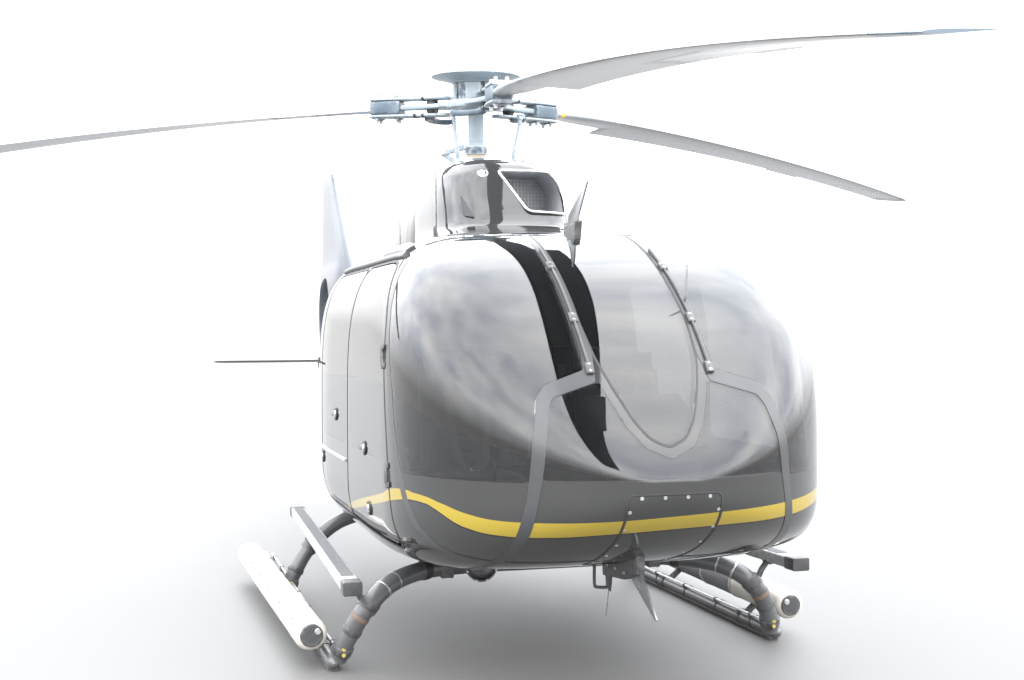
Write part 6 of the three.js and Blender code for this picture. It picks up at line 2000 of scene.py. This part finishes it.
def makeIntake():
    outline = roundedOutline(fairing["intake"], 0.035, 8)
    dense = []
    for a, b in zip(outline, np.roll(outline, -1, axis=0)):
        steps = max(1, int(np.linalg.norm(b - a) / 0.02))
        dense += [a + (b - a) * k / steps for k in range(steps)]
    path = [fairingSpot(x, z, 0.002) for x, z in dense]
    path.append(path[0])
    fixed(rod("intake_lip", path, 0.0085, 14), chrome, angle=70)
    walls = combine(prism(grown(fairing["intake"], 0.004), -1.2, -0.31, "y", 0.032, 8),
                    [prism(grown(fairing["intake"], -0.006), -1.4, -0.3, "y", 0.028, 8)])
    combine(walls, [fairingForm("inside", fairing["wall"] + 0.0005)], "INTERSECT")
    fixed(walls, ductGrey, name="intake_duct")
    low, high = np.min(dense, axis=0), np.max(dense, axis=0)
    mesh = []
    for x in np.arange(low[0], high[0], 0.022):
        mesh.append(blockMesh((x, x + 0.004), (-0.318, -0.312), (low[1], high[1]), "bar"))
    for z in np.arange(low[1], high[1], 0.022):
        mesh.append(blockMesh((low[0], high[0]), (-0.322, -0.316), (z, z + 0.004), "bar"))
    fixed(merged("intake_screen", mesh), alloy)
    fixed(prism(grown(fairing["intake"], -0.004), -0.31, -0.305, "y", 0.03, 8), ductGrey,
          name="intake_back")


def makeFairingTrim():
    # the cowl's rounded front shoulder, the foot flange, a small vent and a lamp cover
    roof = rearForm("roof", -0.0004, fuselage["bulkhead"])
    rings = []
    for y, half, top in ((0.2, 0.366, 2.688), (0.26, 0.384, 2.704), (0.33, 0.393, 2.716),
                         (0.4218, 0.3976, 2.7215)):
        x, z = superRing(half, (top - cowl["base"], 0.2), 3.4)
        rings.append(np.stack([x, np.full_like(x, y), z + cowl["base"]], axis=1))
    fixed(combine(loft("cowl_shoulder", rings), [roof]), plainBlack, angle=50)
    flange = [(x, fairingSpot(x, 2.2)[1] - 0.05) for x in np.linspace(-0.42, 0.42, 41)]
    line = [tuple(roofSpot(x, y, 0.004)[0]) for x, y in flange]
    fixed(beam("fairing_foot_flange", line, 0.03, 0.0035, (0, 0, 1), 3.0, 20), blackPaint, 50)
    screws = [roofSpot(x, y - 0.012, 0.006) for x, y in flange[2:-2:4]]
    boltRow("flange_screws", [p for p, n in screws], [n for p, n in screws], 0.005, 0.003, alloy, 16)
    corners = [(-0.3, 2.34), (-0.245, 2.33), (-0.3, 2.47)]
    outer = [fairingSpot(x, z, 0.004) for x, z in roundedOutline(corners, 0.012, 5)]
    inner = [(x, y + 0.02, z) for x, y, z in outer]
    fixed(loft("fairing_vent", [inner, outer]), rubber)
    spot = fairingSpot(-0.16, 2.6, 0.0)
    rows = [(0.0, 0.006), (0.02, 0.005), (0.032, 0.001), (0.034, -0.004), (0.0, -0.004)]
    fixed(turned("fairing_lamp_cover", rows, spot, (-0.2, -0.8, 0.6), 40), chrome, angle=50)


ductGrey = material("grey duct paint", color=(0.3, 0.31, 0.325), other=(0.36, 0.37, 0.385), patch=9,
    roughness=0.5, change=0.2, grain=200, bump=0.1)
makeBands()
makeRods()
makeLatches()
makeHinges()
makeAerials()
makeRails()
makeIntake()
makeFairingTrim()
print("stage: trim on the skin")


# Floor, light and camera
studio = {
    "floor": (0.105, 0.104, 0.1), "floorPatch": (0.125, 0.124, 0.119), "floorHalf": 60,
    "skyStrength": 8.0, "horizonStrength": 1.42, "horizon": (0.05, 0.42), "gamma": 1.12,
    "cameraSpot": (-2.18, -8.595, 1.669), "yaw": 15.518, "pitch": -0.308, "roll": -0.329,
    "focalPixels": 1395.61, "frameWidth": 1024, "sensor": 36.0,
}


def makeStage():
    reach = studio["floorHalf"]
    floor = meshObject("studio_floor", [(-reach, -reach, 0), (reach, -reach, 0), (reach, reach, 0),
                                        (-reach, reach, 0)], [(0, 1, 2, 3)])
    floor.data.materials.append(material("pale floor", studio["floor"], studio["floorPatch"], patch=0.3,
                                         amount=0.6, roughness=0.6, change=0.1, grain=40, bump=0.02))
    world = bpy.data.worlds.new("soft sky")
    world.use_nodes = True
    tree = world.node_tree
    spot = tree.nodes.new("ShaderNodeTexCoord")
    parts = tree.nodes.new("ShaderNodeSeparateXYZ")
    tree.links.new(spot.outputs["Generated"], parts.inputs[0])
    clouds = addNode(tree, "ShaderNodeTexNoise", Scale=2.6, Detail=7.0, Roughness=0.55)
    tree.links.new(spot.outputs["Generated"], clouds.inputs["Vector"])
    low = mapRange(tree, parts.outputs["Z"], 0.08, 0.25, 1.0, 0.0)
    shade = mathNode(tree, "MAXIMUM", mapRange(tree, clouds.outputs["Fac"], 0.36, 0.64), low)
    color = mixColor(tree, shade, (0.58, 0.61, 0.68), (1.0, 1.0, 1.0))
    tree.links.new(color, tree.nodes["Background"].inputs["Color"])
    rise = mapRange(tree, parts.outputs["Z"], studio["horizon"][0], studio["horizon"][1],
                    studio["horizonStrength"], studio["skyStrength"])
    tree.links.new(rise, tree.nodes["Background"].inputs["Strength"])
    scene.world = world
    scene.view_settings.view_transform = "Standard"
    scene.view_settings.gamma = studio["gamma"]


def makeCamera():
    data = bpy.data.cameras.new("camera")
    camera = bpy.data.objects.new("camera", data)
    scene.collection.objects.link(camera)
    y, p, r = (math.radians(studio[key]) for key in ("yaw", "pitch", "roll"))
    ahead = Vector((math.sin(y) * math.cos(p), math.cos(y) * math.cos(p), math.sin(p)))
    right = Vector((math.cos(y), -math.sin(y), 0))
    up = right.cross(ahead)
    turnedRight = math.cos(r) * right + math.sin(r) * up
    turnedUp = math.cos(r) * up - math.sin(r) * right
    turn = Matrix((turnedRight, turnedUp, -ahead)).transposed().to_4x4()
    camera.matrix_world = Matrix.Translation(Vector(np.array(studio["cameraSpot"]) + shift)) @ turn
    data.sensor_width = studio["sensor"]
    data.lens = studio["focalPixels"] * studio["sensor"] / studio["frameWidth"]
    data.clip_start, data.clip_end = 0.1, 400
    scene.camera = camera


makeStage()
makeCamera()
print("stage: floor, light and camera")
